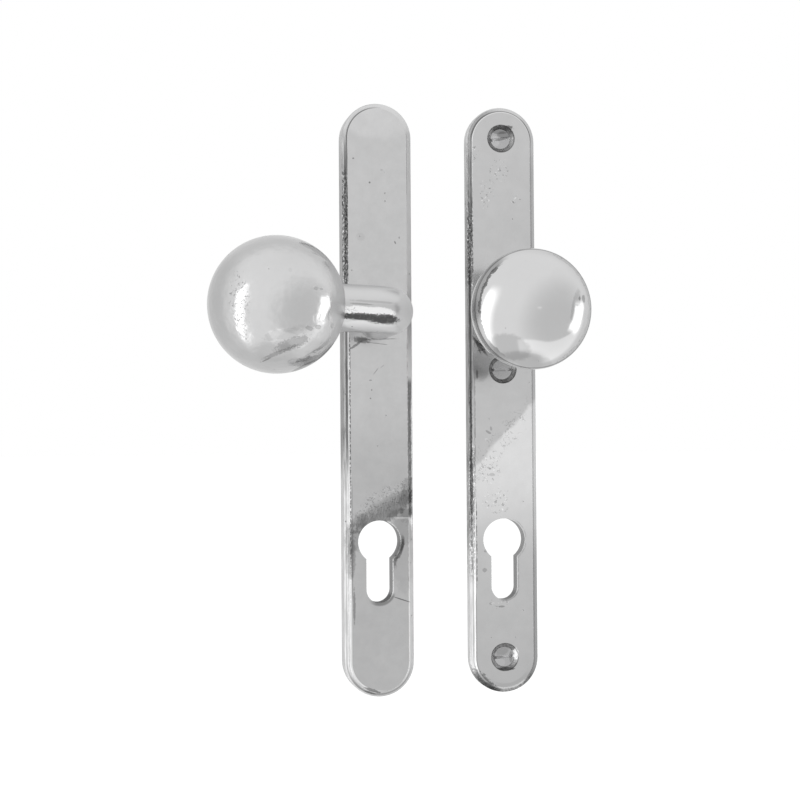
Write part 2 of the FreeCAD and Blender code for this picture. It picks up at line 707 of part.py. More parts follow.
def inner_knob():
    """Turned mushroom knob: journal, collar, shank, flared back, rim band and domed head."""
    widest = "(inner_thickness + head_widest)"
    back = "(inner_thickness + head_stand)"
    rim_top = f"({back} + rim_height)"
    shoulder_bottom = f"({rim_top} + 2 * groove_height)"
    arc_centre = "(head_radius - shoulder_radius)"
    dome = f"(({arc_centre}^2 + dome_height^2 - shoulder_radius^2) / 2 / (dome_height - shoulder_radius))"
    dome_centre = f"({widest} + dome_height - {dome})"
    share = f"({dome} / ({dome} - shoulder_radius))"
    meet = (f"{arc_centre} * {share}", f"{dome_centre} + ({widest} - {dome_centre}) * {share}")
    shoulder_start = f"{arc_centre} + sqrt(shoulder_radius^2 - ({shoulder_bottom} - {widest})^2)"
    cove = "(collar_radius - shank_radius)"
    collar_top = f"({KNOB_SHOULDER} + collar_height)"
    ring_seat = "(journal_radius - ring_groove)"
    groove_low = "journal_recess + ring_lip"
    groove_high = f"{RING_BOTTOM} + ring_thickness + ring_slack"

    body = new_body("inner_knob", INNER_FRAME)
    sketch = new_sketch(body, "half_section", "0", "XZ_Plane")
    outline(sketch, [
        ("0", "journal_recess"),
        ("journal_radius", "journal_recess"),
        ("journal_radius", groove_low),
        (ring_seat, groove_low),
        (ring_seat, groove_high),
        ("journal_radius", groove_high),
        ("journal_radius", KNOB_SHOULDER),
        ("collar_radius", KNOB_SHOULDER),
        ("collar_radius", collar_top),
        ("shank_radius", f"{collar_top} + {cove}"),
        ("shank_radius", f"{back} - flare_radius"),
        ("shank_radius + flare_radius", back),
        ("rim_radius - rim_taper", back),
        ("rim_radius", rim_top),
        ("rim_radius - groove_depth", f"{rim_top} + groove_height"),
        (shoulder_start, shoulder_bottom),
        meet,
        ("0", f"{widest} + dome_height"),
    ], {
        8: (cove, -1),
        10: ("flare_radius", -1),
        15: ("shoulder_radius", 1),
        16: (dome, 1),
    })
    revolve(body, "turned", sketch)

    sketch = new_sketch(body, "spindle_socket", "journal_recess")
    half = "(spindle_side / 2 + seat_gap)"
    rectangle(sketch, half, f"-{half}", half)
    pocket(body, "spindle_socket_cut", sketch, "socket_depth", along_normal=True)

    sketch = new_sketch(body, "grub_hole", "0", "XZ_Plane")
    circle(sketch, "grub_radius + seat_gap", "0", "inner_thickness + grub_stand")
    pocket(body, "grub_hole_cut", sketch, "collar_radius", along_normal=True)


def spindle():
    """Square bar from the knob's socket out behind the plate, bevelled at both ends."""
    body = new_body("spindle", INNER_FRAME)
    bottom = "-spindle_reach"
    top = "journal_recess + socket_depth - socket_end_gap"
    sketch = new_sketch(body, "outline", bottom)
    rectangle(sketch, "spindle_side / 2", "-spindle_side / 2", "spindle_side / 2")
    bar = pad(body, "bar", sketch, f"{top} + spindle_reach")
    bar = chamfer_end(body, "rear_bevel", bar, bottom, "spindle_chamfer")
    chamfer_end(body, "front_bevel", bar, top, "spindle_chamfer")


def grub_screw():
    """Headless screw, below the spindle, that grips it in the knob."""
    spot = "placement(vector(0; -(spindle_side / 2 + seat_gap); inner_thickness + grub_stand); rotationx(90))"
    body = new_body("knob_grub_screw", f"{INNER_FRAME} * {spot}")
    sketch = new_sketch(body, "outline")
    circle(sketch, "grub_radius")
    pad(body, "rod", sketch, "grub_length")
    hex_socket(body, "grub_hex", "grub_hex_depth", "grub_length")


def check_document():
    """Stop if any object failed or any body has no valid solid."""
    for thing in doc.Objects:
        if "Invalid" in thing.State or "Error" in thing.State:
            raise RuntimeError(f"{thing.Name}: {thing.State}")
    for body in parts:
        shape = body.Shape
        if shape.isNull() or not shape.isValid() or len(shape.Solids) != 1:
            raise RuntimeError(f"{body.Label}: no single valid solid")


def write_parts():
    """One file for each sub-part, named after its node."""
    os.makedirs("parts", exist_ok=True)
    for body in parts:
        body.Shape.exportStep(f"parts/{body.Label}.step")
        print(f"{body.Label}: {body.Shape.Volume:.1f} mm3")


doc = FreeCAD.newDocument("SecurityDoorHandleSet")
sheet = doc.addObject("Spreadsheet::Sheet", "Dims")
for line, (alias, size) in enumerate(SIZES.items(), 1):
    sheet.set(f"A{line}", alias)
    sheet.set(f"B{line}", str(size))
    sheet.setAlias(f"B{line}", alias)
doc.recompute()

outer_plate()
guard_plate()
guard_screws()
threaded_bushes()
knob_neck()
neck_screws()
ball_knob()
ball_stud()
inner_plate()
plate_screws()
knob_bearing()
washers()
inner_knob()
retaining_ring()
spindle()
grub_screw()

doc.recompute()
check_document()
write_parts()
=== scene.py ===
"""Looks of a security door handle set in old polished chrome: an outer plate that carries a fixed
ball knob on a cranked neck, and an inner plate with a turning mushroom knob."""

import json
import math
from functools import partial
from types import SimpleNamespace

import bpy
from mathutils import Matrix, Vector

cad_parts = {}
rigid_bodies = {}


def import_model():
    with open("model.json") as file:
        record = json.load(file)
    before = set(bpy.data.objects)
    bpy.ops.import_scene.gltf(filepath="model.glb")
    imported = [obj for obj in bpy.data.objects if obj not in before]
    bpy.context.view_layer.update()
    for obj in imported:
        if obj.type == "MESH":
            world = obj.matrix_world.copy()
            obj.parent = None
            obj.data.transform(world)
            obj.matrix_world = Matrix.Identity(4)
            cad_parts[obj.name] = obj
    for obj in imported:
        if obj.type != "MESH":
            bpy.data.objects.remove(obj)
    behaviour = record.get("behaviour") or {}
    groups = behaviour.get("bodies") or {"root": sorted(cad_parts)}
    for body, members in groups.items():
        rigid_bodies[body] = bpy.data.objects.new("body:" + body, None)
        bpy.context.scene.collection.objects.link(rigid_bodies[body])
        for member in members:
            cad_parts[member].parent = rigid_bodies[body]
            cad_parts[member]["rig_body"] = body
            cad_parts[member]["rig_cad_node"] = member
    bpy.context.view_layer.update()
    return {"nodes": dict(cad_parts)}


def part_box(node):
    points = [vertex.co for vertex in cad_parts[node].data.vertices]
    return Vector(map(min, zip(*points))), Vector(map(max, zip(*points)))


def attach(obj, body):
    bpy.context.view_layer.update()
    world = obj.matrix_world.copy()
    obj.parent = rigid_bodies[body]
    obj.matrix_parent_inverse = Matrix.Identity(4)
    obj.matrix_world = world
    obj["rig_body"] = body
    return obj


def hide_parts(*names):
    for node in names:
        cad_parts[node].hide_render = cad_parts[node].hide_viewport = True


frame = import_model()
cad = frame["nodes"]


# Outer plate: a thick casting, ground flat, bevelled all round and chromed. Old polish has left it
# with soft clouds and small pits, dirt and painted shade along the left bevel, painted highlights on
# the bevels and a dark smudge over the cut-out.

MM = 0.001
CHROME = (0.62, 0.62, 0.622, 1.0)
BEYOND = 200.0  # further up or down than either plate reaches
BEVEL = 2.2  # width of the bevel, seen from the front
LOCK, LOCK_RADIUS, LEG_RADIUS, LOCK_HEIGHT = -92.0, 8.75, 5.4, 33.6
LEG_END = LOCK + LOCK_RADIUS - LOCK_HEIGHT + LEG_RADIUS
EDGE_RADIUS, SMOOTHEST = 0.25, 0.04


def node(tree, kind, inputs=None, **settings):
    """One shader node; inputs holds plain values or other nodes' outputs, by name or number."""
    made = tree.nodes.new(kind)
    for key, value in settings.items():
        setattr(made, key, value)
    for slot, value in (inputs or {}).items():
        if isinstance(value, bpy.types.NodeSocket):
            tree.links.new(value, made.inputs[slot])
        else:
            made.inputs[slot].default_value = value
    return made


def calc(tree, operation, *values):
    """The result of one sum with plain values or other nodes' outputs."""
    return node(tree, "ShaderNodeMath", dict(enumerate(values)), operation=operation).outputs[0]


def vector_calc(tree, operation, *values):
    """The same for places and directions; gives both outputs, the vector and the value."""
    return node(tree, "ShaderNodeVectorMath", dict(enumerate(values)), operation=operation).outputs


def parts(tree, point):
    """The three coordinates of a point."""
    return node(tree, "ShaderNodeSeparateXYZ", {0: point}).outputs


def both(tree, *masks):
    """Where all the masks meet."""
    made = masks[0]
    for mask in masks[1:]:
        made = calc(tree, "MULTIPLY", made, mask)
    return made


def ramp(tree, value, start, end, low=0.0, high=1.0):
    """Smooth change from low, where value is at start, to high, where it is at end."""
    inputs = {"Value": value, "From Min": start, "From Max": end, "To Min": low, "To Max": high}
    made = node(tree, "ShaderNodeMapRange", inputs, interpolation_type="SMOOTHSTEP")
    return made.outputs["Result"]


def grow(tree, value, start, end, low=0.0, high=1.0):
    """A ramp along a length, with start and end in millimetres."""
    return ramp(tree, value, start * MM, end * MM, low, high)


def span(tree, value, low, high, soft, high_soft=None):
    """1 from low to high, in millimetres, fading out over soft beyond low and beyond high, where
    high_soft may take its place."""
    rising = grow(tree, value, low - soft, low)
    return both(tree, rising, grow(tree, value, high + (high_soft or soft), high))


def line(tree, value, place, half, soft):
    """1 where value is within half of place, fading out over soft; all in millimetres."""
    off = calc(tree, "ABSOLUTE", calc(tree, "SUBTRACT", value, place * MM))
    return grow(tree, off, half + soft, half)


def noise(tree, point, size, detail=2.0, roughness=0.5):
    """Cloudy pattern whose patches are about size millimetres."""
    inputs = {"Vector": point, "Scale": 1.0 / (size * MM), "Detail": detail, "Roughness": roughness}
    return node(tree, "ShaderNodeTexNoise", inputs).outputs["Fac"]


def grains(tree, point, size, start, end, roughness=0.7):
    """Ragged grains of about size millimetres; start and end say how much of the pattern counts."""
    return ramp(tree, noise(tree, point, size, 3.0, roughness), start, end)


def streaks(tree, over, x, z, across, along):
    """Fine lines in which over hardly changes: across and along are their width and length in mm."""
    laid = node(tree, "ShaderNodeCombineXYZ", {
        0: calc(tree, "MULTIPLY", over, 1.0 / (across * MM)),
        1: calc(tree, "MULTIPLY", x, 1.0 / (along * MM)),
        2: calc(tree, "MULTIPLY", z, 1.0 / (along * MM)),
    })
    inputs = {"Vector": laid.outputs[0], "Scale": 1.0, "Detail": 4.0, "Roughness": 0.65}
    return node(tree, "ShaderNodeTexNoise", inputs).outputs["Fac"]


def spot(tree, point, centre, radii, turn=0.0, ragged=0.35, grain=2.0):
    """1 inside an egg-shaped mark with a ragged edge, 0 outside; sizes in millimetres."""
    placed = vector_calc(tree, "ADD", point, [-c * MM for c in centre])[0]
    turned = node(tree, "ShaderNodeVectorRotate", {"Vector": placed, "Angle": math.radians(turn)},
                  rotation_type="Y_AXIS").outputs[0]
    scaled = vector_calc(tree, "MULTIPLY", turned, [1.0 / (r * MM) for r in radii])[0]
    reach = vector_calc(tree, "LENGTH", scaled)["Value"]
    torn = calc(tree, "MULTIPLY_ADD", noise(tree, point, grain, 4.0, 0.7), ragged * 2, -ragged)
    return ramp(tree, calc(tree, "ADD", reach, torn), 1.12, 0.80)


def capsule(tree, point, across, low, high):
    """Distance, seen from the front, from an upright line at across that runs from low to high."""
    x, y, z = parts(tree, point)
    near = calc(tree, "MINIMUM", calc(tree, "MAXIMUM", z, low * MM), high * MM)
    side = calc(tree, "SUBTRACT", x, across * MM)
    rise = calc(tree, "SUBTRACT", z, near)
    square = calc(tree, "ADD", calc(tree, "MULTIPLY", side, side), calc(tree, "MULTIPLY", rise, rise))
    return calc(tree, "SQRT", square)


def aged_metal(name, colour, roughness, cloud=0.05, pits=0.3, wave=0.0):
    """Polished metal with cloudy tone, pits and waves. Returns what later marks act on."""
    cell, widest_pit, pit_depth, pit_shade = 3.4 * MM, 0.085, 0.12 * MM, 0.45
    made = bpy.data.materials.new(name)
    made.use_nodes = True
    tree = made.node_tree
    shader = tree.nodes["Principled BSDF"]
    shader.inputs["Metallic"].default_value = 1.0
    point = node(tree, "ShaderNodeTexCoord").outputs["Object"]
    broad = noise(tree, point, 26.0, 3.0)
    fine = noise(tree, point, 4.0, 5.0, 0.65)
    cells = node(tree, "ShaderNodeTexVoronoi", {"Vector": point, "Scale": 1.0 / cell})
    chance = node(tree, "ShaderNodeSeparateColor", {0: cells.outputs["Color"]}).outputs[0]
    size = calc(tree, "MULTIPLY", ramp(tree, chance, 1.0 - pits, 1.0), widest_pit)
    pit = ramp(tree, calc(tree, "SUBTRACT", cells.outputs["Distance"], size), 0.03, -0.01)
    pit = calc(tree, "MULTIPLY", pit, ramp(tree, chance, 1.0 - pits, 1.01 - pits))
    tone = calc(tree, "MULTIPLY_ADD", broad, 2 * cloud, 1.0 - cloud)
    tone = calc(tree, "MULTIPLY", tone, calc(tree, "MULTIPLY_ADD", fine, cloud, 1.0 - cloud / 2))
    tone = calc(tree, "MULTIPLY", tone, calc(tree, "MULTIPLY_ADD", pit, -pit_shade, 1.0))
    rough = calc(tree, "MULTIPLY_ADD", fine, 0.10, roughness - 0.05)
    rough = calc(tree, "ADD", rough, calc(tree, "MULTIPLY", pit, 0.25))
    height = calc(tree, "MULTIPLY", pit, -pit_depth)
    if wave:
        height = calc(tree, "MULTIPLY_ADD", noise(tree, point, 9.0, 2.0), wave * MM, height)
    return {"material": made, "tree": tree, "shader": shader, "point": point, "colour": colour,
            "tone": tone, "rough": rough, "height": height}


def mark(finish, mask, tone=1.0, rough=0.0, sink=0.0):
    """Lays a mark on a finish: mask is where, tone how dark or bright, sink how deep in mm."""
    tree = finish["tree"]
    if tone != 1.0:
        shade = calc(tree, "MULTIPLY_ADD", mask, tone - 1.0, 1.0)
        finish["tone"] = calc(tree, "MULTIPLY", finish["tone"], shade)
    if rough:
        finish["rough"] = calc(tree, "MULTIPLY_ADD", mask, rough, finish["rough"])
    if sink:
        finish["height"] = calc(tree, "MULTIPLY_ADD", mask, -sink * MM, finish["height"])


def marks(finish, rows):
    """Lays several marks. Each row is the tone, the added roughness and masks that have to meet."""
    for tone, rough, *masks in rows:
        mark(finish, both(finish["tree"], *masks), tone, rough)


def spots(finish, middle, y, depth, rows):
    """Lays spots on a plate: across from its middle line, height, half width, half height, turn,
    raggedness, size of the rag's grain, tone. They reach depth in, so that they run over an edge."""
    for across, height, half_width, half_height, turn, ragged, grain, tone in rows:
        centre, radii = (middle + across, y, height), (half_width, depth, half_height)
        mark(finish, spot(finish["tree"], finish["point"], centre, radii, turn, ragged, grain), tone)


def survey(finish, name, chip_length):
    """Places on a plate, worked out from its box. off is the way across from its middle line and
    inset the way in from its side. edge is a mask for bevel and side, sloped leaves the side out,
    and grain, broken, ticks and chips are patterns that run along or across the bevel, for wear and
    for painted highlights."""
    low, high = (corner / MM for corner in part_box(name))
    middle, half_width = (low.x + high.x) / 2, (high.x - low.x) / 2
    tree, point = finish["tree"], finish["point"]
    x, y, z = parts(tree, point)
    rim = capsule(tree, point, middle, low.z + half_width, high.z - half_width)
    over = calc(tree, "ADD", rim, y)
    inset = calc(tree, "SUBTRACT", half_width * MM, rim)
    worn = grow(tree, z, high.z - 1.6, high.z - 27.6, 0.35, 1.0)
    return SimpleNamespace(
        middle=middle, face=low.y, x=x, y=y, z=z, inset=inset,
        off=calc(tree, "SUBTRACT", x, middle * MM),
        edge=both(tree, grow(tree, inset, BEVEL + 0.1, BEVEL - 0.1), worn),
        sloped=grow(tree, inset, 0.02, 0.10),
        grain=streaks(tree, over, x, z, 0.80, 9.0),
        broken=ramp(tree, streaks(tree, over, x, z, 0.9, chip_length), 0.42, 0.52),
        ticks=ramp(tree, streaks(tree, z, over, over, 0.95, 2.0), 0.52, 0.57),
        chips=ramp(tree, streaks(tree, z, over, over, 1.10, 1.3), 0.46, 0.41),
    )


def lock_hole(finish, at):
    """Way out from the edge of the lock's hole, a round with a narrower leg under it, then masks for
    the front round it, for the wall inside it and for the leg's foot."""
    tree, point = finish["tree"], finish["point"]
    round_part = calc(tree, "SUBTRACT", capsule(tree, point, at.middle, LOCK, LOCK), LOCK_RADIUS * MM)
    leg = calc(tree, "SUBTRACT", capsule(tree, point, at.middle, LEG_END, LOCK), LEG_RADIUS * MM)
    hole = calc(tree, "MINIMUM", round_part, leg)
    front = grow(tree, at.y, at.face + 0.7, at.face + 0.3)
    wall = both(tree, grow(tree, hole, 0.12, 0.06), grow(tree, at.y, at.face + 0.05, at.face + 0.15))
    return hole, front, wall, grow(tree, at.z, LEG_END - 1.05, LEG_END - 3.05)


def mottle(finish, depth):
    """Gives a face uneven tone in patches of a few millimetres."""
    tree = finish["tree"]
    patches = noise(tree, finish["point"], 5.5, 3.0, 0.6)
    shade = calc(tree, "MULTIPLY_ADD", patches, depth, 1.0 - depth / 2)
    finish["tone"] = calc(tree, "MULTIPLY", finish["tone"], shade)


def cast_back(finish, y):
    """Leaves the back of a casting as it came from the mould: grey, grainy and unpolished."""
    tree = finish["tree"]
    behind = grow(tree, y, -0.5, -0.15)
    ahead = grow(tree, y, -0.15, -0.5)
    sand = noise(tree, finish["point"], 0.9, 4.0, 0.7)
    bloom = noise(tree, finish["point"], 17.0, 4.0, 0.6)
    dull = calc(tree, "MULTIPLY_ADD", bloom, 0.34, calc(tree, "MULTIPLY_ADD", sand, 0.40, 0.26))
    relief = calc(tree, "MULTIPLY", sand, 0.10 * MM)
    for part, fresh in (("tone", dull), ("rough", 0.52), ("height", relief)):
        kept = calc(tree, "MULTIPLY", finish[part], ahead)
        finish[part] = calc(tree, "MULTIPLY_ADD", behind, fresh, kept)


def complete(finish):
    """Joins tone, roughness, relief and slightly rounded edges to the shader; gives the material."""
    tree, shader, tone = finish["tree"], finish["shader"], finish["tone"]
    grey = node(tree, "ShaderNodeCombineColor", {0: tone, 1: tone, 2: tone}).outputs[0]
    colour = node(tree, "ShaderNodeMix", {0: 1.0, 6: finish["colour"], 7: grey},
                  data_type="RGBA", blend_type="MULTIPLY")
    tree.links.new(colour.outputs[2], shader.inputs["Base Color"])
    tree.links.new(calc(tree, "MAXIMUM", finish["rough"], SMOOTHEST), shader.inputs["Roughness"])
    soft = node(tree, "ShaderNodeBevel", {"Radius": EDGE_RADIUS * MM}, samples=6).outputs[0]
    relief = {"Strength": 1.0, "Distance": 1.0, "Height": finish["height"], "Normal": soft}
    tree.links.new(node(tree, "ShaderNodeBump", relief).outputs[0], shader.inputs["Normal"])
    return finish["material"]


outer = aged_metal("outer_plate_chrome", CHROME, 0.16)
tree, point = outer["tree"], outer["point"]
at = survey(outer, "outer_plate", 1.3)
stripe, level = partial(line, tree, at.inset), partial(span, tree, at.z)
left, right = grow(tree, at.off, 4, -7), grow(tree, at.off, 8, 11)
middle, lower = level(-48, 2, 14), level(-BEYOND, -72, 18)
# Marks along the bevels: dirt and wear, and painted light as well. The left bevel is painted darker,
# most of all above the lock, as painted shade, and the face beside the lower left bevel brighter, as
# a painted highlight. The upper right bevel is painted darker as painted shade, lines and flecks
# brighter than the metal are painted highlights, and the lower part of the plate is painted a little
# darker.
marks(outer, (
    (1.00, 0.28, at.edge),
    (0.62, 0, at.edge, left),
    (1.28, 0, at.edge, left, ramp(tree, at.grain, 0.40, 0.62)),
    (0.72, 0, at.edge, left, ramp(tree, at.grain, 0.50, 0.36), level(-60, BEYOND, 14)),
    (0.45, 0.1, stripe(1.30, 0.35, 0.30), left, level(14, 66, 6, 14)),
    (0.55, 0.1, stripe(1.80, 0.16, 0.20), left, level(74, BEYOND, 12)),
    (0.62, 0.1, at.edge, at.sloped, left, level(22, 50, 18), at.broken),
    (0.40, 0.1, at.edge, at.sloped, left, level(16, 58, 4), at.ticks),
    (2.50, 0, at.edge, at.sloped, left, level(14, 54, 6), at.chips),
    (0.86, 0, at.edge, left, level(22, 50, 18), at.broken),
    (0.40, 0.1, stripe(1.30, 0.38, 0.14), left, middle),
    (0.70, 0, stripe(0.30, 0.34, 0.12), left, middle),
    (1.35, 0, stripe(0.68, 0.08, 0.10), left, middle),
    (1.25, 0, stripe(1.95, 0.12, 0.12), left, middle),
    (0.28, 0.1, stripe(2.55, 0.20, 0.12), left, level(-96, -12, 8), at.broken),
    (1.25, 0, stripe(2.30, 0.08, 0.10), left, level(-60, -8, 8)),
    (1.70, 0, stripe(2.45, 0.20, 0.10), left, level(-112, -12, 8), at.chips),
    (0.52, 0, stripe(1.95, 0.10, 0.12), left, level(20, BEYOND, 10)),
    (0.60, 0, stripe(1.95, 0.05, 0.10), right, level(52, 72, 6)),
    (1.62, 0, grow(tree, at.inset, 3.0, 2.7), left, lower),
    (0.72, 0, stripe(0.85, 0.16, 0.18), left, lower),
    (0.80, 0, stripe(1.60, 0.06, 0.14), left, lower, at.broken),
    (0.72, 0, stripe(3.10, 0.14, 0.22), left, level(-112, -72, 6)),
    (0.82, 0, at.edge, right, level(0, BEYOND, 40)),
    (0.30, 0.1, stripe(1.30, 0.75, 0.20), right, level(-80, -28, 4)),
    (2.20, 0, stripe(0.60, 0.20, 0.15), right, level(-84, -36, 4), at.broken),
    (1.50, 0, stripe(1.40, 0.75, 0.20), right, level(-82, -30, 4), at.chips),
    (2.40, 0, stripe(1.40, 0.07, 0.10), right, level(-82, -54, 5), at.broken),
    (0.70, 0, stripe(2.30, 0.10, 0.15), right, level(-110, -12, 4), at.broken),
    (1.30, 0, stripe(2.10, 0.22, 0.20), right, lower),
    (0.62, 0, stripe(1.10, 0.25, 0.20), at.edge, level(-BEYOND, -150, 10)),
    (0.88, 0, level(-BEYOND, -66, 36)),
))

slanting = calc(tree, "MULTIPLY_ADD", at.off, -0.62, at.z)
smudge = both(tree, spot(tree, point, (2.0, at.face, -79.3), (15.0, 8, 4.8), 32, 0.75, 1.5),
              grow(tree, slanting, -73.0, -80.5))
corner = spot(tree, point, (9.0, at.face, -81.6), (6.5, 8, 3.2), 10, 0.4, 1.5)
fibres = ramp(tree, streaks(tree, at.x, at.x, at.z, 0.32, 1.9), 0.34, 0.58)
marks(outer, (
    (0.66, 0.1, smudge),
    (0.66, 0.1, smudge, fibres),
    (0.72, 0.1, corner, grow(tree, at.z, -82.1, -81.9)),
))
dusty = spot(tree, point, (1.5, at.face, -75.5), (13.5, 8, 5.0), 30, 0.5, 3.0)
mark(outer, both(tree, dusty, grains(tree, point, 0.7, 0.54, 0.62, 0.75)), 0.54, 0.1, 0.01)
# Bright flecks over the dust: painted glints.
painted_glint_spot = spot(tree, point, (3.5, at.face, -75.0), (11.0, 8, 5.0), 30, 0.5, 3.0)
mark(outer, both(tree, painted_glint_spot, ramp(tree, noise(tree, point, 0.62, 2.0, 0.7), 0.36, 0.30)), 1.45)

# Spots of dirt and wear. The five marks near -10 mm, just under the neck, are partly dirt and partly
# a painted shadow of the neck.
spots(outer, at.middle, at.face, 8.0, (
    (-9.6, -88.5, 4.2, 8.5, -18, 0.50, 2.0, 0.72),
    (-11.6, -99.0, 1.9, 9.0, -3, 0.50, 2.0, 0.74),
    (11.6, -75.0, 3.0, 9.0, -4, 0.70, 1.4, 0.74),
    (9.5, -88.0, 4.6, 6.0, 0, 0.50, 2.5, 0.84),
    (8.1, -96.0, 1.3, 4.6, -24, 0.90, 0.8, 0.52),
    (9.3, -93.0, 1.0, 3.0, -12, 0.90, 0.8, 0.66),
    (-11.6, -95.0, 1.3, 11.0, 0, 0.90, 0.8, 0.80),
    (9.5, -97.0, 5.0, 16.0, 0, 0.45, 5.0, 0.90),
    (9.2, -115.6, 3.9, 0.26, -19, 0.25, 1.0, 0.40),
    (9.8, -82.3, 3.0, 0.30, 0, 0.20, 2.0, 1.40),
    (-7.0, 32.5, 1.8, 1.6, 0, 0.40, 2.0, 0.94),
    (-9.8, 64.7, 0.42, 0.36, 0, 0.10, 1.0, 0.50),
    (-3.1, 54.9, 0.42, 0.42, 0, 0.10, 1.0, 0.45),
    (1.9, 60.1, 0.55, 0.28, 0, 0.10, 1.0, 0.80),
    (7.3, 30.4, 0.32, 0.70, 20, 0.10, 1.0, 0.50),
    (9.0, 32.4, 0.30, 0.50, 0, 0.10, 1.0, 0.65),
    (-7.0, -9.6, 3.8, 1.3, -8, 1.10, 0.9, 0.50),
    (-6.4, -9.4, 2.6, 0.9, 10, 1.10, 0.5, 0.62),
    (-9.4, -11.8, 2.8, 0.55, 34, 1.00, 0.6, 0.48),
    (0.6, -9.2, 7.0, 0.26, 1, 0.80, 0.8, 0.62),
    (-1.0, -10.9, 5.5, 0.22, -7, 0.80, 0.8, 0.66),
    (-1.0, -22.3, 1.8, 0.22, 52, 0.70, 0.7, 0.70),
    (1.6, -20.4, 1.0, 0.20, 40, 0.70, 0.7, 0.80),
    (-3.3, -26.0, 0.6, 0.3, 0, 0.60, 0.7, 0.65),
    (-2.8, -30.0, 0.3, 0.3, 0, 0.30, 1.0, 0.50),
    (-3.3, -33.4, 0.3, 0.3, 0, 0.30, 1.0, 0.50),
    (-10.5, -118.0, 0.5, 7.0, 0, 0.90, 0.7, 0.60),
    (0.0, 83.0, 16.0, 10.0, 0, 0.25, 9.0, 1.09),
))
spots(outer, at.middle, at.face + 0.4, 4.0, (
    (-3.2, -152.2, 3.6, 0.6, -20, 0.70, 0.8, 0.40),
    (-4.2, -153.2, 2.4, 0.5, -20, 0.70, 0.8, 0.55),
))
mottle(outer, 0.16)

hole, front, wall, leg_foot = lock_hole(outer, at)
hole_right = both(tree, grow(tree, at.off, 2.0, 4.5), front, grains(tree, point, 0.8, 0.38, 0.50))
# Painted shade on the wall inside the lock's hole, and a painted highlight along the right of its
# edge.
marks(outer, (
    (0.42, 0.25, wall),
    (1.55, 0, line(tree, hole, 0.20, 0.14, 0.14), hole_right),
    (0.50, 0, line(tree, hole, 0.95, 0.30, 0.50), hole_right, level(-101, -91, 3)),
    (0.50, 0.1, line(tree, hole, 0.35, 0.45, 0.80), leg_foot, grow(tree, at.off, -5, -1)),
    (0.60, 0, wall, leg_foot),
))
cast_back(outer, at.y)
cad["outer_plate"].data.materials[0] = complete(outer)


# Inner plate: thinner than the outer one, with three countersunk holes and the knob's bearing hole.
# Below the middle screw the face is painted brighter behind a soft slanting border, a painted
# reflection. The countersinks are dull and painted darker, as painted shade, and the left bevel is
# painted darker along its upper part, as painted shade.

inner = aged_metal("inner_plate_chrome", CHROME, 0.15, pits=0.4)
tree, point = inner["tree"], inner["point"]
at = survey(inner, "inner_plate", 1.5)
stripe, level = partial(line, tree, at.inset), partial(span, tree, at.z)
left, right = grow(tree, at.off, 1.2, -8.8), grow(tree, at.off, 7.2, 10.2)
lower, dull = level(-BEYOND, -104, 18), level(-86, BEYOND, 18)
# Marks along the bevels: dirt and wear, and painted light as well. The left bevel is painted darker
# in its upper part, where the mask dull reaches, and the right bevel is painted darker, both as
# painted shade, and lines and flecks brighter than the metal are painted highlights.
marks(inner, (
    (1.00, 0.28, at.edge),
    (0.56, 0, at.edge, left, dull),
    (1.35, 0, at.edge, left, level(34, BEYOND, 14)),
    (0.70, 0, at.edge, left, level(-104, -60, 8), at.broken),
    (1.05, 0, at.edge, left, lower),
    (1.22, 0, at.edge, left, ramp(tree, at.grain, 0.42, 0.62)),
    (0.74, 0, at.edge, left, ramp(tree, at.grain, 0.50, 0.36), dull),
    (0.66, 0.1, stripe(0.90, 0.35, 0.25), left, level(20, BEYOND, 6)),
    (0.34, 0.1, stripe(0.95, 0.28, 0.12), left, level(-60, 16, 6)),
    (0.46, 0.1, stripe(1.00, 0.48, 0.16), left, level(-78, -64, 6)),
    (0.55, 0.1, stripe(1.00, 0.12, 0.12), left, level(-104, -80, 5), at.broken),
    (0.66, 0, stripe(2.25, 0.05, 0.08), left, level(-70, 16, 6)),
    (0.66, 0.1, at.edge, left, level(16, 46, 8), at.broken),
    (0.76, 0, stripe(0.60, 0.20, 0.12), left, dull, at.broken),
    (0.42, 0.1, at.edge, at.sloped, left, level(16, 42, 4), at.ticks),
    (2.20, 0, at.edge, at.sloped, left, level(14, 40, 6), at.chips),
    (2.00, 0, at.edge, at.sloped, left, level(-96, -56, 8), at.chips),
    (0.55, 0.1, stripe(0.95, 0.50, 0.15), left, level(-84, -28, 6), at.ticks),
    (1.20, 0, stripe(1.70, 0.22, 0.16), left, dull),
    (1.60, 0, stripe(2.25, 0.12, 0.10), left, level(-112, -78, 5)),
    (0.62, 0.1, stripe(2.50, 0.10, 0.12), left, level(-84, -24, 4), at.broken),
    (0.40, 0.1, stripe(2.75, 0.16, 0.12), left, level(-108, -80, 5), at.broken),
    (0.70, 0, stripe(1.40, 0.14, 0.16), left, lower),
    (0.74, 0, stripe(2.35, 0.14, 0.20), left, lower),
    (1.25, 0, stripe(1.85, 0.20, 0.20), left, lower),
    (0.64, 0, at.edge, right),
    (0.84, 0, at.edge, right, lower),
    (0.76, 0.1, stripe(1.70, 0.20, 0.20), right),
    (0.44, 0.1, stripe(1.60, 0.24, 0.16), left, level(34, BEYOND, 12)),
    (0.46, 0.1, stripe(1.70, 0.15, 0.14), level(78, BEYOND, 8)),
    (1.22, 0, stripe(2.15, 0.08, 0.10), level(78, BEYOND, 8)),
))
foot = level(-BEYOND, -150, 6)
foot_right = both(tree, foot, grow(tree, at.off, -6.8, -0.8))
marks(inner, (
    (0.74, 0.1, stripe(0.60, 0.50, 0.25), foot),
    (0.58, 0.1, stripe(0.70, 0.60, 0.30), foot, grains(tree, point, 1.2, 0.44, 0.54)),
    (1.12, 0, stripe(1.70, 0.15, 0.30), foot_right),
    (0.88, 0, stripe(3.00, 0.45, 0.60), foot_right),
))
